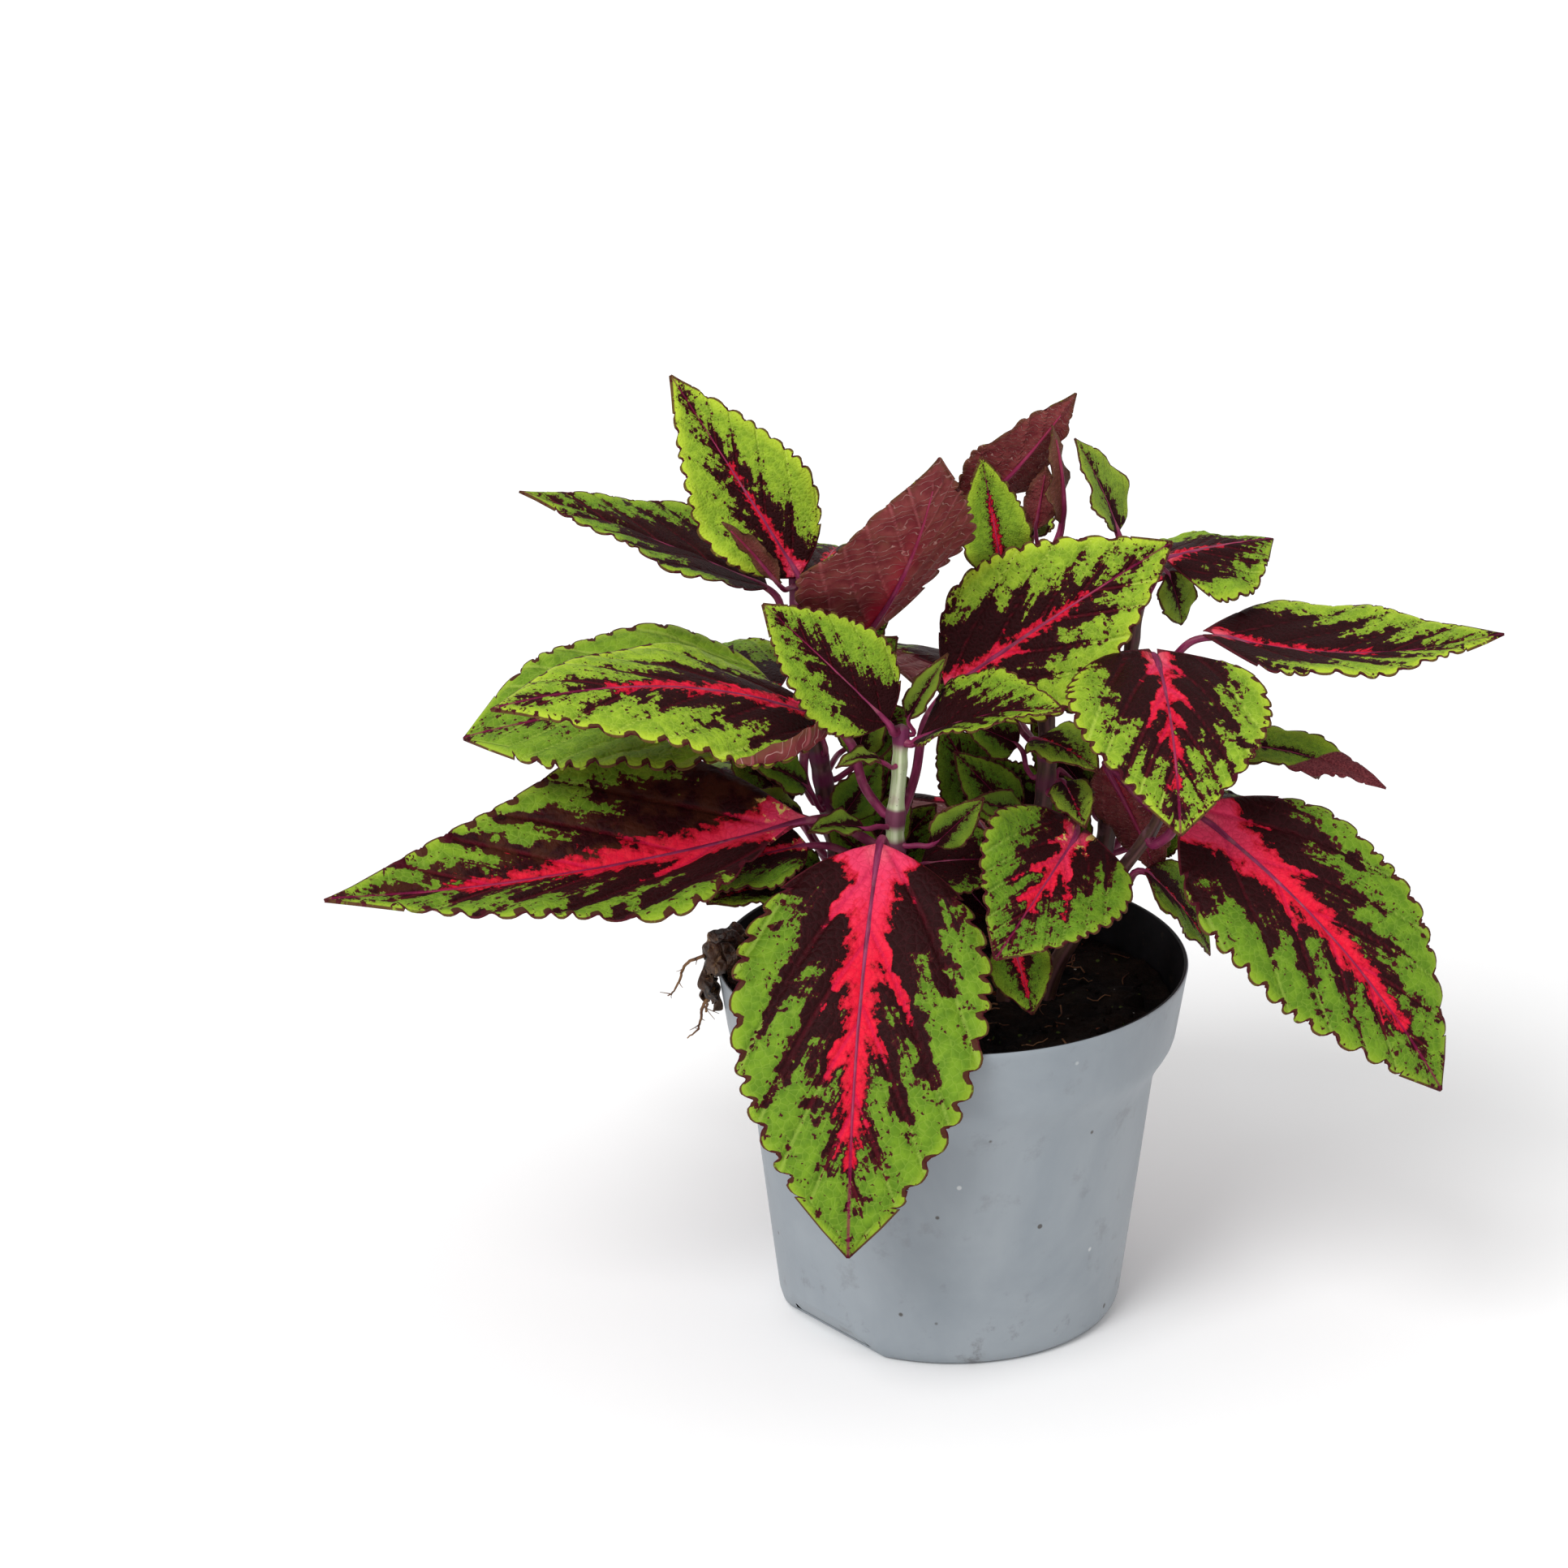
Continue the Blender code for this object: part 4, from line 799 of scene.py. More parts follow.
class Graph:
    """A material's node tree, with short names for the nodes that the patterns use."""

    def __init__(self, name):
        self.material = bpy.data.materials.new(name)
        self.material.use_nodes = True
        self.tree = self.material.node_tree
        self.shader = self.tree.nodes["Principled BSDF"].inputs

    def put(self, socket, value):
        if isinstance(value, Value):
            self.tree.links.new(value.socket, socket)
        elif socket.type == "RGBA":
            socket.default_value = (*rgb(*value), 1.0)
        else:
            socket.default_value = value

    def node(self, kind, inputs=(), **settings):
        node = self.tree.nodes.new("ShaderNode" + kind)
        for name, value in settings.items():
            setattr(node, name, value)
        for name, value in dict(inputs).items():
            self.put(node.inputs[name], value)
        return node

    def value(self, kind, output, inputs=(), **settings):
        return Value(self, self.node(kind, inputs, **settings).outputs[output])

    def math(self, operation, first, second=0.0):
        return self.value("Math", 0, {0: first, 1: second}, operation=operation)

    def step(self, value, low, high):
        """0 below low and 1 above high; the other way round if low is the larger."""
        inputs = {"Value": value, "From Min": min(low, high), "From Max": max(low, high)}
        if low > high:
            inputs.update({"To Min": 1.0, "To Max": 0.0})
        return self.value("MapRange", 0, inputs, interpolation_type="SMOOTHSTEP")

    def layers(self, colour, *coats):
        """A colour with others laid over it. A coat is a colour and the share that shows of it."""
        for tone, share in coats:
            colour = self.value("Mix", 2, {0: share, 6: colour, 7: tone}, data_type="RGBA")
        return colour

    def split(self, vector):
        return [Value(self, socket) for socket in self.node("SeparateXYZ", {0: vector}).outputs]

    def join(self, x, y, z):
        return self.value("CombineXYZ", 0, {0: x, 1: y, 2: z})

    def field(self, name):
        return self.value("Attribute", "Vector", attribute_name=name)

    def spot(self):
        return self.value("TexCoord", "Object")

    def noise(self, vector, scale, detail=2.0, rough=0.5, distort=0.0):
        return self.value("TexNoise", "Fac", {"Vector": vector, "Scale": scale, "Detail": detail,
                                              "Roughness": rough, "Distortion": distort})

    def patches(self, vector, scale, detail, low, high, rough=0.5, distort=0.0):
        return self.step(self.noise(vector, scale, detail, rough, distort), low, high)

    def cells(self, vector, scale):
        """Distance to the middle of the nearest cell, and that cell's three random numbers."""
        outputs = self.node("TexVoronoi", {"Vector": vector, "Scale": scale}).outputs
        return Value(self, outputs["Distance"]), self.split(Value(self, outputs["Color"]))

    def net(self, vector, scale):
        """Distance to the nearest border between cells."""
        return self.value("TexVoronoi", "Distance", {"Vector": vector, "Scale": scale},
                          feature="DISTANCE_TO_EDGE")

    def brighten(self, colour, amount):
        """Brighter and a little yellower by an amount of about -1 to 1."""
        return self.value("HueSaturation", 0, {"Value": amount * 0.4 + 1.0, "Hue": amount * -0.014 + 0.5,
                                               "Color": colour})

    def finish(self, colour, roughness, specular, relief=None, distance=0.0, strength=1.0):
        """The material, with its colour, its gloss and the relief of its surface."""
        self.put(self.shader["Base Color"], colour)
        self.put(self.shader["Roughness"], roughness)
        self.put(self.shader["Specular IOR Level"], specular)
        if relief:
            bump = {"Height": relief, "Distance": distance, "Strength": strength}
            self.put(self.shader["Normal"], self.value("Bump", "Normal", bump))
        return self.material


def leaf_top_material():
    g = Graph("leaf_top")
    place = g.field("place")
    side, along, seed = g.split(place)
    olive, brown, fleck = g.split(g.field("look"))
    core, dark, deep = g.split(g.field("zone"))
    rim, vein, reach = g.split(g.field("edge"))
    start, turned, light = g.split(g.field("mark"))
    feather = g.noise(g.join(start * 0.9, reach * 0.3, light), 0.5)
    glow = core + (g.noise(place, 0.3, 6.0, 0.66) - 0.5) * 13.0 + (feather - 0.5) * 5.0
    broad = g.noise(place, 0.15, 6.0, 0.66)
    fine = g.noise(place, 0.62, 5.0, 0.62)
    brush = g.noise(g.join(start * 0.42, reach * 0.085, light + side * 0.02), 1.0)
    field = dark + (broad - 0.5) * 21.0 + (brush - 0.5) * 10.0 + (fine - 0.5) * 9.0
    field = g.math("MAXIMUM", field, glow + 1.6 + (broad - 0.5) * 6.0)
    net = g.net(place, 0.5)
    # Green parts: lighter towards the edge, with a fine pale net of veins
    green = g.layers(
        (112, 147, 36),
        ((92, 127, 30), g.patches(place, 0.24, 3.0, 0.36, 0.64)),
        ((138, 166, 42), g.step(rim, 4.0, 0.3)),
        ((72, 104, 26), g.step(field, -6.0, 0.0) * 0.5),
        ((146, 172, 66), g.step(net, 0.08, 0.0) * 0.3),
        ((150, 174, 72), g.step(vein, 0.6, 0.1) * 0.5),
        ((92, 100, 52), olive * 0.85),
    )
    # Dark zone, with loose blobs and dots in the green beyond it
    mask = g.step(field, -0.22, 0.22)
    bent = g.join(side + fine * 3.0, along + broad * 6.0, seed)
    for scale, low, chance, size in ((0.36, -8.0, 0.45, 0.3), (0.95, -9.0, 0.36, 0.36)):
        dots, tint = g.cells(bent, scale)
        present = g.step(g.step(field, low, -0.4) * chance - tint[0], 0.0, 0.02)
        mask = g.math("MAXIMUM", mask, present * g.step(dots, size + 0.05, size - 0.05))
    inside = g.layers(
        (66, 14, 20),
        ((37, 7, 9), g.step(field, 0.0, 2.4)),
        ((98, 12, 30), g.step(vein, 0.8, 0.1) * g.step(reach, 22.0, 6.0) * 0.55),
        ((74, 20, 30), g.step(net, 0.1, 0.0) * 0.2),
        ((70, 34, 20), g.step(brown, 0.0, 1.0) * g.patches(place, 0.18, 4.0, 0.42, 0.6) * 0.8),
    )
    # Red centre, pinker near the stalk
    red = g.layers(
        (164, 10, 32),
        ((228, 26, 56), g.step(glow, 0.0, 2.6)),
        ((236, 52, 66), g.patches(place, 0.7, 4.0, 0.42, 0.62, 0.6) * 0.35),
        ((234, 70, 112), g.step(along, 34.0, 4.0) * g.step(glow, 0.3, 4.0) * 0.75),
        ((242, 160, 160), g.step(along, 8.0, 1.0) * g.step(reach, 5.0, 1.0) * 0.25),
        ((178, 16, 72), g.step(vein, 0.7, 0.1) * 0.5),
        ((186, 12, 50), g.step(feather, 0.56, 0.66) * 0.35),
        ((178, 14, 52), g.step(net, 0.1, 0.0) * 0.3),
    )
    # Midrib, edge line, notches, yellow flecks and the part of a blade that is turned over
    line = g.step(rim, 0.8, 0.48) * g.patches(place, 0.4, 3.0, 0.24, 0.4) * 0.9
    notch = g.step(deep + (fine - 0.5) * 0.5, 0.4, 0.55) * 0.95
    yellow = fleck * g.step(along, 12.0, 8.0) * g.patches(place, 0.34, 4.0, 0.55, 0.6, 0.6) \
        * g.step(reach, 1.5, 3.5) * g.step(glow, -1.5, 0.5)
    over = g.layers((92, 34, 42), ((128, 62, 66), g.step(fine, 0.4, 0.6)))
    colour = g.layers(
        # The green with each leaf's light value: painted light and painted shade, and the paler green of
        # young leaves
        g.brighten(green, light),
        (inside, mask),
        (red, g.step(glow, -0.5, 0.5)),
        ((124, 20, 66), g.step(reach, 0.62, 0.22) * 0.75),
        ((82, 24, 34), line),
        ((70, 14, 26), notch),
        ((244, 222, 120), yellow),
        (over, g.step(turned, 0.45, 0.55)),
    )
    relief = net + g.step(vein, 0.0, 1.2) * 0.9 + fine * 0.5 + g.noise(place, 2.4, 3.0) * 0.3
    return g.finish(colour, fine * 0.2 + 0.45, 0.08, relief, 0.0006, 0.7)


def leaf_under_material():
    g = Graph("leaf_under")
    place = g.field("place")
    side, along, seed = g.split(place)
    olive, brown, _ = g.split(g.field("look"))
    rim, vein, reach = g.split(g.field("edge"))
    broad = g.noise(place, 0.16, 4.0, 0.6)
    # Pale cross veins, broken into short wavy lines
    sway = (g.noise(place, 0.16) - 0.5) * 10.0
    wave = g.math("PINGPONG", along + reach * 0.3 + sway, 1.6)
    ladder = g.step(wave, 0.24, 0.06) * g.patches(place, 0.26, 2.0, 0.34, 0.5)
    flow = g.join(side * 1.5, along * 0.3, seed)
    colour = g.layers(
        (112, 40, 46),
        ((134, 62, 62), g.step(broad, 0.38, 0.64)),
        ((108, 70, 52), g.patches(place, 0.3, 4.0, 0.5, 0.72) * 0.35),
        ((92, 78, 44), g.step(rim, 2.0, 0.2) * 0.4),
        ((196, 144, 138), ladder * 0.8),
        ((164, 88, 92), g.step(vein, 0.5, 0.12) * 0.55),
        ((176, 20, 54), g.step(reach + broad * 6.0, 11.0, 3.0) * g.step(along, 66.0, 0.0) * 0.85),
        ((172, 110, 118), g.patches(flow, 1.2, 4.0, 0.54, 0.68) * g.math("ABSOLUTE", brown) * 0.35),
        ((104, 92, 56), olive * 0.6),
    )
    relief = ladder + g.step(vein, 1.3, 0.0) * 0.8 + broad * 1.2
    return g.finish(colour, 0.6, 0.12, relief, 0.0006, 0.8)


def stalk_material():
    g = Graph("stalk")
    place = g.field("place")
    along, around, seed = g.split(place)
    streak = g.noise(g.join(along * 0.15, around, seed), 1.1, 4.0)
    colour = g.layers(
        (104, 22, 60),
        ((140, 44, 88), g.step(streak, 0.35, 0.65)),
        ((156, 92, 104), g.patches(place, 0.25, 3.0, 0.5, 0.7) * 0.5),
        ((168, 40, 74), g.step(g.split(g.field("zone"))[0], 0.35, 1.0) * 0.5),
    )
    return g.finish(colour, 0.45, 0.25, streak, 0.0003, 0.5)


def stem_material(name, low, high, ridge):
    g = Graph(name)
    place = g.field("place")
    along, around, seed = g.split(place)
    share, corner, swell = g.split(g.field("zone"))
    streak = g.noise(g.join(along * 0.12, around, seed), 0.8, 4.0)
    dots, tint = g.cells(place, 1.2)
    colour = g.layers(
        low,
        (high, g.step(streak, 0.35, 0.65)),
        (ridge, g.step(corner, 0.2, 1.0) * 0.7),
        ((156, 110, 122), g.patches(place, 0.2, 3.0, 0.56, 0.72) * 0.4),
        ((108, 34, 74), g.step(swell, 0.12, 0.26) * 0.95),
        ((118, 42, 84), g.step(share, 0.93, 0.97) * 0.85),
        ((96, 84, 62), g.step(dots, 0.24, 0.14) * g.step(tint[0], 0.75, 0.85) * 0.7),
    )
    return g.finish(colour, 0.5, 0.2, streak, 0.0004, 0.5)


def pot_material():
    g = Graph("pot_outside")
    spot = g.spot()
    x, y, height = g.split(spot)
    smudge = g.noise(spot, 16.0, 5.0, 0.6, 0.6)
    # Darker grey patches all over, stronger towards the bottom below 30 mm
    low_grey_patches = g.patches(spot, 90.0, 5.0, 0.56, 0.72, 0.7) * (g.step(height, 0.03, 0.0) * 0.6 + 0.25)
    dots, tint = g.cells(spot, 230.0)
    pale, tone = g.cells(spot, 160.0)
    colour = g.layers(
        (136, 144, 151),
        ((151, 158, 164), g.step(smudge, 0.32, 0.68)),
        ((164, 169, 173), g.patches(g.join(x, y, height * 0.35), 30.0, 4.0, 0.54, 0.75) * 0.4),
        ((104, 104, 104), low_grey_patches),
        ((62, 50, 40), g.step(dots, 0.2, 0.12) * g.step(tint[0], 0.93, 0.95) * 0.8),
        ((206, 208, 208), g.step(pale, 0.13, 0.07) * g.step(tone[1], 0.93, 0.95) * 0.7),
    )
    relief = g.noise(spot, 700.0, 3.0) * 0.4 + smudge
    return g.finish(colour, smudge * 0.2 + 0.36, 0.3, relief, 0.0003, 0.35)


def pot_inside_material():
    g = Graph("pot_inside")
    spot = g.spot()
    wipe = g.noise(spot, 40.0, 5.0, 0.6)
    dust = g.noise(spot, 260.0, 4.0, 0.7)
    colour = g.layers((14, 14, 16), ((34, 34, 37), g.step(wipe, 0.35, 0.7)),
                      ((70, 60, 48), g.step(dust, 0.6, 0.72) * 0.4))
    return g.finish(colour, wipe * 0.25 + 0.4, 0.15, wipe + dust * 0.5, 0.0003, 0.35)


def soil_material():
    g = Graph("soil")
    spot = g.spot()
    grain = g.noise(spot, 420.0, 5.0, 0.7)
    clump = g.noise(spot, 90.0, 4.0, 0.6)
    dots, kind = g.cells(spot, 420.0)
    colour = g.layers(
        (12, 9, 8),
        ((30, 22, 16), g.step(clump, 0.35, 0.65)),
        ((62, 46, 32), g.step(grain, 0.55, 0.7) * 0.5),
        ((74, 92, 36), g.step(dots, 0.3, 0.2) * g.step(kind[0], 0.9, 0.92)),
        ((112, 62, 40), g.step(dots, 0.3, 0.2) * g.step(kind[1], 0.93, 0.95)),
        # Rare pale specks: painted glints, small highlights drawn into the soil's colour
        ((190, 186, 176), g.step(dots, 0.2, 0.12) * g.step(kind[2], 0.975, 0.98)),
    )
    return g.finish(colour, 0.9, 0.12, grain + clump, 0.0012, 0.9)


def strand_material(name, roughness, specular, ground, *coats):
    """Brown strand in patches of colours; each coat is a colour, then what patches() takes."""
    g = Graph(name)
    spot = g.spot()
    colour = g.layers(ground, *[(tone, g.patches(spot, *where)) for tone, *where in coats])
    return g.finish(colour, roughness, specular, g.noise(spot, 900.0), 0.0002, 0.6)


def withered_material():
    g = Graph("withered")
    spot = g.spot()
    broad = g.noise(spot, 130.0, 5.0, 0.65, 0.8)
    net = g.net(spot, 420.0)
    # Dark where the relief is low, in the broad hollows and along the creases of the net, browner where it is
    # high: painted shade over the dry leaf's own browns; the tan patches are its own colour
    colour = g.layers(
        (20, 11, 8),
        ((80, 52, 32), g.step(broad, 0.4, 0.6)),
        ((156, 122, 82), g.patches(spot, 260.0, 5.0, 0.56, 0.66, 0.65, 0.6) * 0.8),
        ((52, 34, 22), g.step(net, 0.08, 0.0) * 0.5),
    )
    return g.finish(colour, broad * 0.6 + 0.25, 0.5, broad + net * 0.6, 0.0015, 1.0)


def floor_material():
    g = Graph("floor")
    colour = g.layers((253, 253, 253), ((251, 251, 251), g.patches(g.spot(), 1.2, 2.0, 0.2, 0.8)))
    return g.finish(colour, 0.9, 0.1)


def turned(profile, sides):
    """Surface of a profile of (radius, height) turned about Z; ends on the axis become points."""
    turn = np.linspace(0, 2 * np.pi, sides, endpoint=False)
    shape = bmesh.new()
    rings = []
    for radius, height in profile:
        if radius < 0.001:
            rings.append([shape.verts.new((0, 0, height * MM))] * sides)
        else:
            rings.append([shape.verts.new((radius * math.cos(a) * MM, radius * math.sin(a) * MM, height * MM))
                          for a in turn])
    for low, high in zip(rings, rings[1:]):
        for j in range(sides):
            k = (j + 1) % sides
            shape.faces.new(list(dict.fromkeys((low[j], low[k], high[k], high[j]))))
    bmesh.ops.recalc_face_normals(shape, faces=shape.faces)
    return shape


def object_from(shape, name):
    mesh = bpy.data.meshes.new(name)
    shape.to_mesh(mesh)
    shape.free()
    return placed(name, mesh)


def cutter(name, sides, size, place, turn):
    """Tool that cuts the pot: a round one with the given sides, or a cube if there are none."""
    shape = bmesh.new()
    if sides:
        bmesh.ops.create_cone(shape, cap_ends=True, segments=sides, radius1=size * MM, radius2=size * MM,
                              depth=8 * MM)
    else:
        bmesh.ops.create_cube(shape, size=size * MM)
    item = object_from(shape, name)
    item.location = tuple(value * MM for value in place)
    item.rotation_euler = turn
    return item


def cut_with(item, cutters):
    for tool in cutters:
        boolean = item.modifiers.new(tool.name, "BOOLEAN")
        boolean.operation = "DIFFERENCE"
        boolean.object = tool
        boolean.solver = "EXACT"
    mesh = bpy.data.meshes.new_from_object(item.evaluated_get(bpy.context.evaluated_depsgraph_get()))
    item.modifiers.clear()
    item.data = mesh
    for tool in cutters:
        bpy.data.objects.remove(tool, do_unlink=True)


def notch_plate(shape, angle):
    """Slanted wall just behind a notch, with a dark slot left open at each end."""
    out, side, up = turned_axes(angle)
    heights = np.linspace(PLATE_FOOT, NOTCH_HEIGHT, 60)
    wall = np.interp(heights, [h for _, h in POT_OUTER[::-1]], [r for r, _ in POT_OUTER[::-1]])
    flat = NOTCH_RADIUS + NOTCH_FLARE * heights / NOTCH_HEIGHT
    chord = np.sqrt(np.maximum(wall ** 2 - flat ** 2, 0))
    columns, rows = 31, 8
    sheets, faces = [], []
    for depth in PLATE_DEPTHS:
        grid = []
        for place in np.linspace(-PLATE_HALF, PLATE_HALF, columns):
            top = float(np.interp(abs(place), chord[::-1], heights[::-1]))
            line = []
            for height in np.linspace(PLATE_FOOT, max(top, 2 * PLATE_FOOT), rows):
                radius = NOTCH_RADIUS + NOTCH_FLARE * height / NOTCH_HEIGHT - depth
                line.append(shape.verts.new((out * radius + side * place + up * height) * MM))
            grid.append(line)
        for a, b in zip(grid, grid[1:]):
            faces += [shape.faces.new((a[j], b[j], b[j + 1], a[j + 1])) for j in range(rows - 1)]
        sheets.append([line[0] for line in grid] + grid[-1][1:] + [line[-1] for line in grid[-2::-1]]
                      + grid[0][-2:0:-1])
    front, back = sheets
    for j in range(len(front)):
        k = (j + 1) % len(front)
        faces.append(shape.faces.new((front[j], front[k], back[k], back[j])))
    bmesh.ops.recalc_face_normals(shape, faces=faces)


def build_pot():
    """The CAD's pot with a rounded lip and softer bends; its inside has a material of its own."""
    inner_wall = [(radius - WALL, height) for radius, height in POT_OUTER[1:-3]][::-1]
    floor = [(0.0, FLOOR), (36.0, FLOOR), (41.2, FLOOR + 0.3), (42.4, FLOOR + 2.4)]
    pot = object_from(turned([*floor, *inner_wall, *POT_LIP, *POT_OUTSIDE], POT_SIDES), "pot_fine")
    tools = []
    for index in range(DRAIN_HOLES):
        place = turned_axes(DRAIN_TURN + 360.0 * index / DRAIN_HOLES)[0] * DRAIN_CIRCLE
        tools.append(cutter(f"drain_{index}", 33, DRAIN_HOLE_RADIUS, place, (0, 0, 0.1)))
    slant = math.atan2(NOTCH_FLARE, NOTCH_HEIGHT)
    for index, angle in enumerate(NOTCH_ANGLES):
        out, _, up = turned_axes(angle)
        reach = NOTCH_RADIUS + RIM_RADIUS / 2 * math.cos(slant)
        place = out * reach - up * (RIM_RADIUS / 2 * math.sin(slant))
        tools.append(cutter(f"notch_{index}", 0, RIM_RADIUS, place, (0, slant, math.radians(angle))))
    cut_with(pot, tools)
    mesh = pot.data
    shape = bmesh.new()
    shape.from_mesh(mesh)
    for angle in NOTCH_ANGLES:
        notch_plate(shape, angle)
    shape.to_mesh(mesh)
    shape.free()
    mesh.materials.append(pot_material())
    mesh.materials.append(pot_inside_material())
    for face in mesh.polygons:
        centre = np.array(face.center) / MM
        radius, normal = math.hypot(*centre[:2]), face.normal
        outward = (normal[0] * centre[0] + normal[1] * centre[1]) / max(radius, 1)
        lip = centre[2] > LIP_HEIGHT and normal[2] > 0.35 and radius < LIP_RADIUS
        face.material_index = int(outward < -0.1 or lip or (normal[2] > 0.5 and centre[2] < 6))
    mesh.shade_smooth()
    mesh.set_sharp_from_angle(angle=math.radians(SHARP_ANGLE))
    return pot


def soil_height(x, y):
    """Top of the soil in mm: a low dome with clods, pressed down a little at the wall."""
    points = np.stack([x, y, np.zeros_like(x)], -1)
    radius = np.hypot(x, y)
    height = SOIL_TOP + SOIL_DOME * (1 - (radius / SOIL_EDGE) ** 2)
    height = height + 0.8 * soft_noise(points, 13, 3) + 0.45 * soft_noise(points, 5, 4)
    height = height + 0.35 * np.abs(soft_noise(points, 2.1, 5)) + 0.2 * soft_noise(points, 1.1, 6)
    return height - 0.8 * np.clip((radius - 50) / 6, 0, 1)


def ground(x, y):
    return soil_height(np.array([x]), np.array([y]))[0]


def add_crumbs(bits, dice):
    ball = bmesh.new()
    bmesh.ops.create_icosphere(ball, subdivisions=2, radius=1.0)
    verts = np.array([vert.co[:] for vert in ball.verts])
    faces = np.array([[vert.index for vert in face.verts] for face in ball.faces])
    ball.free()
    for index in range(CRUMBS):
        reach, angle = CRUMB_REACH * math.sqrt(dice.uniform()), dice.uniform(0, 2 * math.pi)
        x, y = reach * math.cos(angle), reach * math.sin(angle)
        size = dice.choice(CRUMB_SIZES, p=CRUMB_SHARES) * dice.uniform(0.8, 1.2)
        lump = verts * (1 + 0.28 * soft_noise(verts * 3 + index * 9, 3.2, index, 12)[:, None])
        lump = lump * size * dice.uniform(0.65, 1.2, 3)
        bits.add(lump + (x, y, ground(x, y) + size * 0.25), (faces,), (0,))


def add_fibres(bits, dice):
    for index in range(FIBRES):
        reach, angle = FIBRE_REACH * math.sqrt(dice.uniform()), dice.uniform(0, 2 * math.pi)
        heading = dice.uniform(0, 2 * math.pi)
        path = []
        for _ in range(FIBRE_POINTS):
            x, y = reach * math.cos(angle), reach * math.sin(angle)
            path.append((x, y, ground(x, y) + dice.uniform(0.1, 0.7)))
            heading += dice.uniform(-0.6, 0.6)
            x, y = x + FIBRE_STEP * math.cos(heading), y + FIBRE_STEP * math.sin(heading)
            reach, angle = min(math.hypot(x, y), CRUMB_REACH), math.atan2(y, x)
        add_tube(bits, path, np.full(FIBRE_POINTS, dice.uniform(0.12, 0.28)), 1, index, sides=6)


def build_soil():
    bits = Bits()
    radius = SOIL_EDGE * np.linspace(0.0, 1.0, SOIL_RINGS) ** 0.8
    radius[0] = 0.05
    turn = np.linspace(0, 2 * np.pi, SOIL_SIDES, endpoint=False)
    x, y = radius[:, None] * np.cos(turn), radius[:, None] * np.sin(turn)
    under = [vectors(reach * np.cos(turn), reach * np.sin(turn), height) for reach, height in SOIL_SIDE]
    verts = np.concatenate([vectors(x, y, soil_height(x, y)), under])
    rows = len(verts)
    ends = [[0, 0, ground(0.0, 0.0)], [0, 0, SOIL_SIDE[-1][1]]]
    faces = (grid_faces(rows, SOIL_SIDES, loop=True, flip=True), end_caps(rows, SOIL_SIDES)[:, [1, 0, 2]])
    bits.add(np.concatenate([verts.reshape(-1, 3), ends]), faces, (0, 0))
    dice = np.random.default_rng(11)
    add_crumbs(bits, dice)
    add_fibres(bits, dice)
    fibre = strand_material("fibre", 0.7, 0.3, (92, 54, 34), ((128, 92, 60), 60.0, 3.0, 0.4, 0.6),
                            ((60, 40, 28), 380.0, 3.0, 0.55, 0.7))
    return bits.build("soil_fine", [soil_material(), fibre])


def build_stem(name, materials):
    bits = Bits()
    points, foot, _ = STEMS[name]
    low = (points[0][0], points[0][1], HOLE_FLOOR + 0.3)
    path, radii = smooth_path([low, *points], [foot] + [stem_radius(name, p[2]) for p in points], 1.2)
    walk = walked(path)
    knobs = [float(np.interp(leaf.node, path[:, 2], walk)) for leaf in LEAVES + SPRIGS + INNER
             if leaf.stem == name]
    path[-1] = path[-2] + (path[-1] - path[-2]) * 0.6
    radii[-1] *= 0.35
    slot = STEM_PALE if name == "stem_front" else STEM_DARK
    add_tube(bits, path, radii, slot, hash_of(name), sides=24, ridge=0.1, knobs=knobs)
    for leaf in SPRIGS + INNER:
        if leaf.stem == name:
            add_leaf(bits, leaf)
    return bits.build(name + "_fine", materials)


def build_leaf(leaf, materials):
    bits = Bits()
    add_leaf(bits, leaf)
    if leaf.name == ROLLED_LEAF:
        add_roll(bits, leaf, hash_of(leaf.name))
    return bits.build(leaf.name + "_fine", materials)


def withered_point(row, across):
    """Point of the dry leaf's middle surface in mm; row and across may lie between the CAD's stations."""
    out, side, up = turned_axes(WITHERED_ANGLE)
    table = np.array(WITHERED_PATH, float)
    stations = np.arange(len(table))
    radius, height = np.interp(row, stations, table[:, 0]), np.interp(row, stations, table[:, 1])
    crumple = WITHERED_CRUMPLE * (1 + np.sin(2.3 * row + 4.1 * across)) / 2
    radius = radius + crumple * np.clip(row - 2.5, 0, 1)
    height = height + crumple * np.clip(4.5 - row, 0, 1)
    width = WITHERED_WIDTH * (1.0 - 0.5 * np.abs(row / (len(table) - 1) - 0.4))
    return out * radius[..., None] + side * (across * width / 2)[..., None] + up * height[..., None]


def add_flap(bits, corners, seed):
    """Crumpled sheet between four corners of the dry leaf."""
    low, low_end, high, high_end = corners @ turned_axes(WITHERED_ANGLE)
    s, t = np.meshgrid(np.linspace(0, 1, 30), np.linspace(0, 1, 24), indexing="ij")
    torn = 0.1 * soft_noise(vectors(s * 9, t * 9, seed), 4, 60 + seed)
    s, t = (np.clip(value, 0, 1) * (1 - 2 * np.abs(torn)) + np.abs(torn) for value in (s, t))
    s, t = s[..., None], t[..., None]
    points = (low * (1 - t) + low_end * t) * (1 - s) + (high * (1 - t) + high_end * t) * s
    normal = unit(np.cross(low_end - low, high - low))
    heave = 1.5 * soft_noise(points, 7.0, 31 + seed) + 0.6 * soft_noise(points, 2.6, 41 + seed)
    points = points + normal * heave[..., None] + 0.35 * np.stack(
        [soft_noise(points, 4.0, 51 + seed + axis) for axis in range(3)], -1)
    offset = sheet_normal(points) * FLAP_HALF
    add_sheet(bits, points + offset, points - offset, (0, 0, 0))


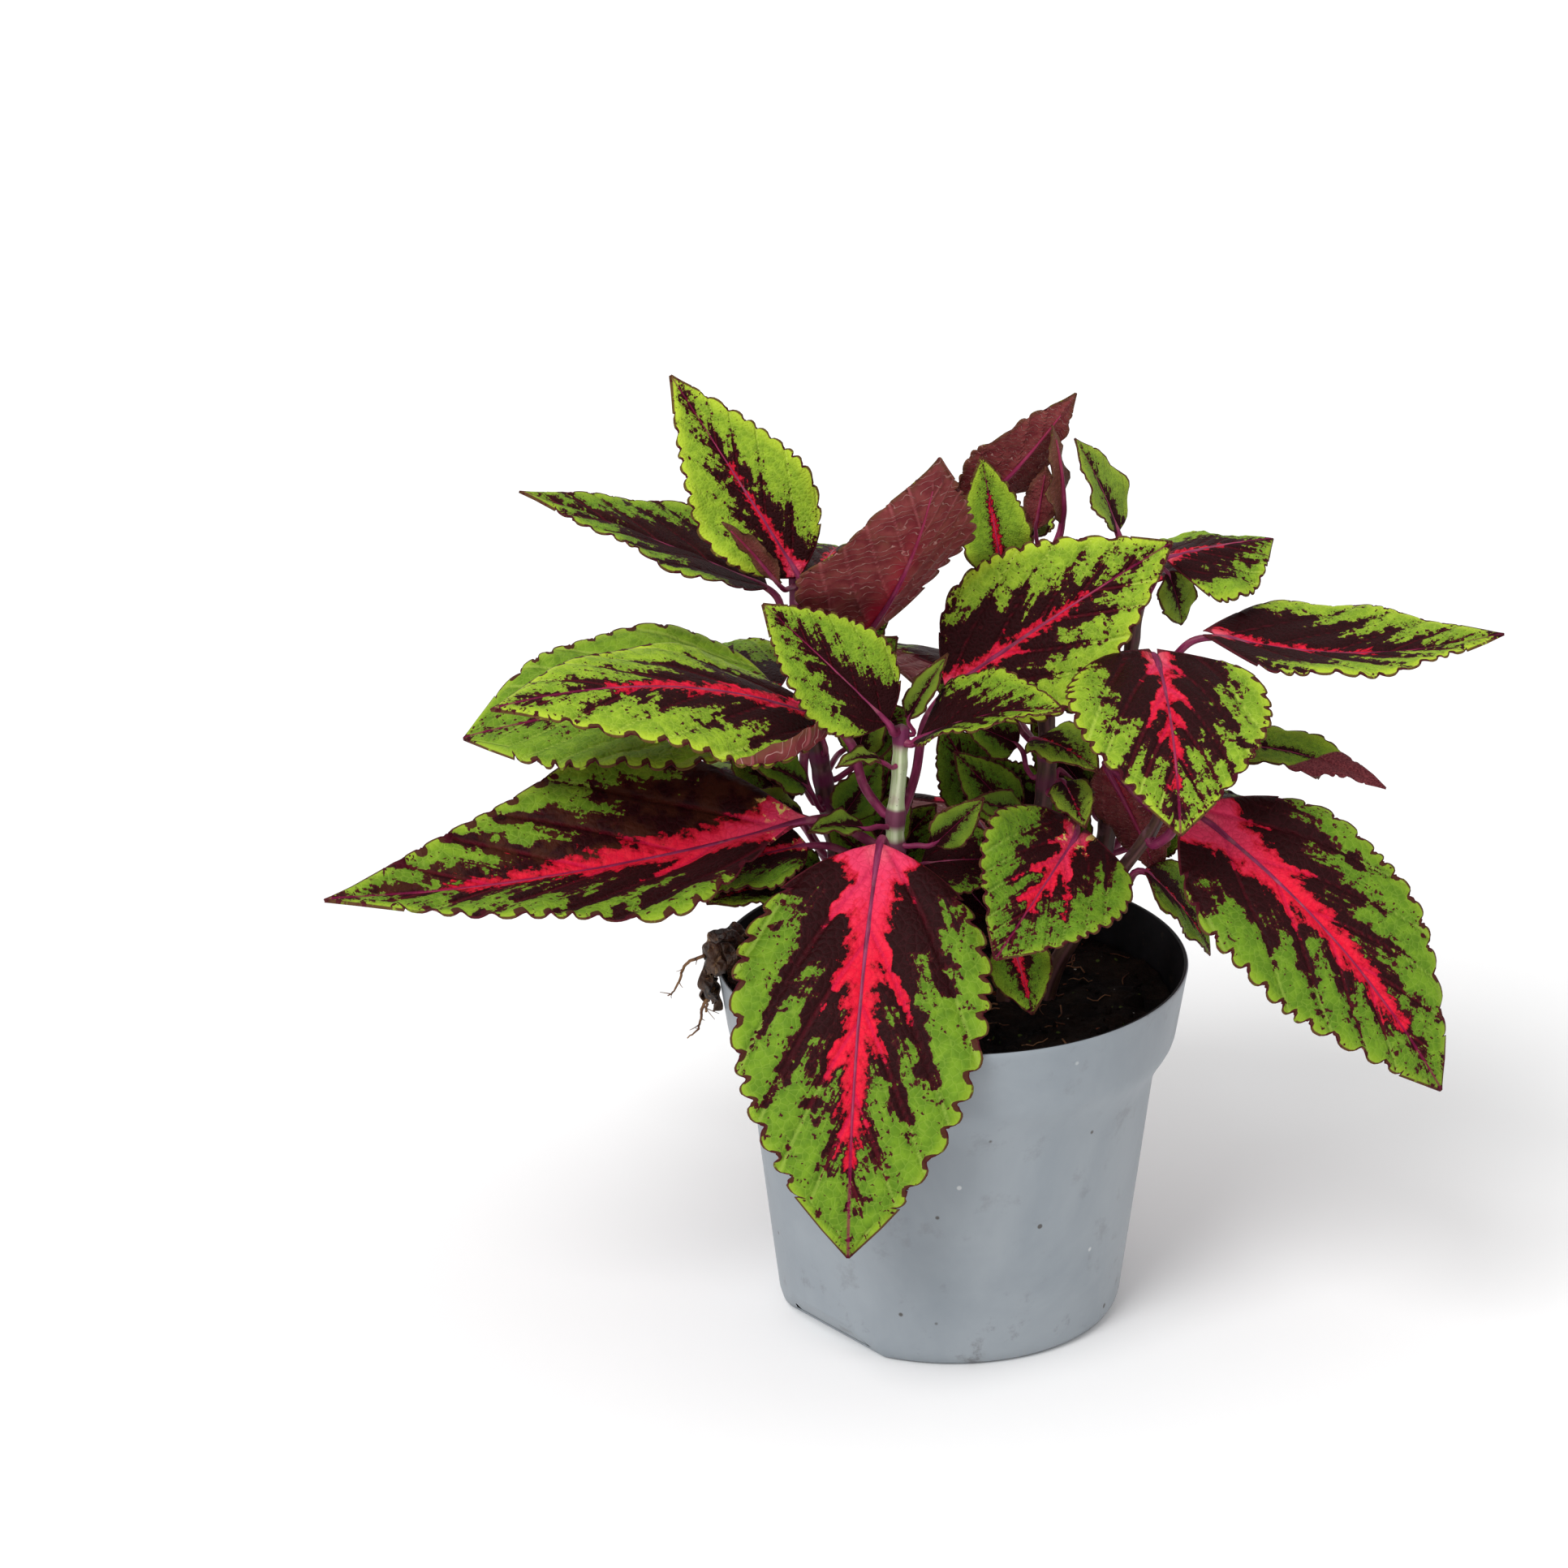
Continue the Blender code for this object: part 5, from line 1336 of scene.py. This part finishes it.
def add_roots(bits):
    dice = np.random.default_rng(4)
    for row, across, steps in ROOTS:
        start = withered_point(np.array(float(row)), np.array(across))
        points = [start] + [start + np.array(step, float) for step in steps]
        path, radii = smooth_path(points, [0.5, 0.4, 0.3, 0.16][:len(points)], 0.8)
        path = path + 0.22 * dice.normal(size=path.shape) * np.linspace(0, 1, len(path))[:, None]
        add_tube(bits, path, radii, 1, row, sides=8)
        for twig in range(TWIGS):
            at = path[dice.integers(2, len(path) - 1)]
            heading = unit(dice.normal(size=3) * (1, 1, 0.6) + (-0.5, 0, -0.7))
            twist = dice.normal(size=3) * 0.5
            line = [at + heading * s + twist * s * s * 0.12 for s in np.linspace(0, dice.uniform(2, 4), 6)]
            add_tube(bits, line, np.linspace(0.16, 0.07, 6), 1, twig, sides=6)


def build_withered():
    bits = Bits()
    row, across = np.meshgrid(np.linspace(0, len(WITHERED_PATH) - 1, 78), np.linspace(-1, 1, 38),
                              indexing="ij")
    ragged = 1 - 0.22 * np.abs(soft_noise(vectors(row * 6, np.sign(across) * 9, 0.0), 5, 8)) \
        * np.abs(across) ** 2
    points = withered_point(row, across * ragged)
    rough = 0.55 * soft_noise(points, 4.5, 21) + 0.3 * soft_noise(points, 2.0, 22)
    points = points + sheet_normal(points) * rough[..., None]
    offset = sheet_normal(points) * (0.28 + 0.1 * soft_noise(points, 3.0, 23)[..., None])
    add_sheet(bits, points + offset, points - offset, (0, 0, 0))
    for index, corners in enumerate(WITHERED_FLAPS):
        add_flap(bits, np.array(corners, float), index)
    add_roots(bits)
    root = strand_material("root", 0.6, 0.35, (150, 112, 74), ((104, 70, 48), 160.0, 4.0, 0.4, 0.62),
                           ((70, 46, 34), 700.0, 3.0, 0.56, 0.7))
    return bits.build("withered_fine", [withered_material(), root])


def build_set():
    """Pale floor, soft light and the camera at the photo's angle."""
    scene = bpy.context.scene
    shape = bmesh.new()
    bmesh.ops.create_grid(shape, x_segments=1, y_segments=1, size=FLOOR_HALF)
    floor = object_from(shape, "floor")
    floor.location = (0, FLOOR_BACK, 0)
    floor.data.materials.append(floor_material())
    scene.world = bpy.data.worlds.new("studio")
    scene.world.use_nodes = True
    back = scene.world.node_tree.nodes["Background"]
    back.inputs["Color"].default_value = (1.0, 1.0, 1.0, 1.0)
    back.inputs["Strength"].default_value = WORLD_LIGHT
    sun = bpy.data.lights.new("key", "SUN")
    sun.energy = KEY_LIGHT
    sun.angle = math.radians(KEY_SIZE)
    placed("key", sun).rotation_euler = (-Vector(KEY_FROM)).to_track_quat("-Z", "Y").to_euler()
    data = bpy.data.cameras.new("camera")
    data.lens = CAMERA_LENS
    data.sensor_width = 36.0
    data.clip_end = 100.0
    camera = placed("camera", data)
    camera.location = CAMERA_AT
    camera.rotation_euler = (math.radians(90 - CAMERA_DOWN), 0, 0)
    scene.camera = camera
    scene.view_settings.view_transform = "Standard"


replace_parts(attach(build_pot(), "root"), "pot")
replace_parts(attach(build_soil(), "root"), "soil")
PLANT = [leaf_top_material(), leaf_under_material(), stalk_material(),
         stem_material("stem_pale", (160, 176, 126), (190, 200, 162), (220, 224, 196)),
         # Stems other than the front one: purple-brown, and dark like the plant's shaded inside, partly
         # painted shade
         stem_material("stem_dark", (58, 34, 36), (84, 60, 48), (112, 76, 76))]
for stem_name in STEMS:
    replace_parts(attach(build_stem(stem_name, PLANT), "root"), stem_name)
for leaf_row in LEAVES:
    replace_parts(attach(build_leaf(leaf_row, PLANT[:3]), "root"), leaf_row.name)
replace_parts(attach(build_withered(), "root"), "withered_leaf")
build_set()
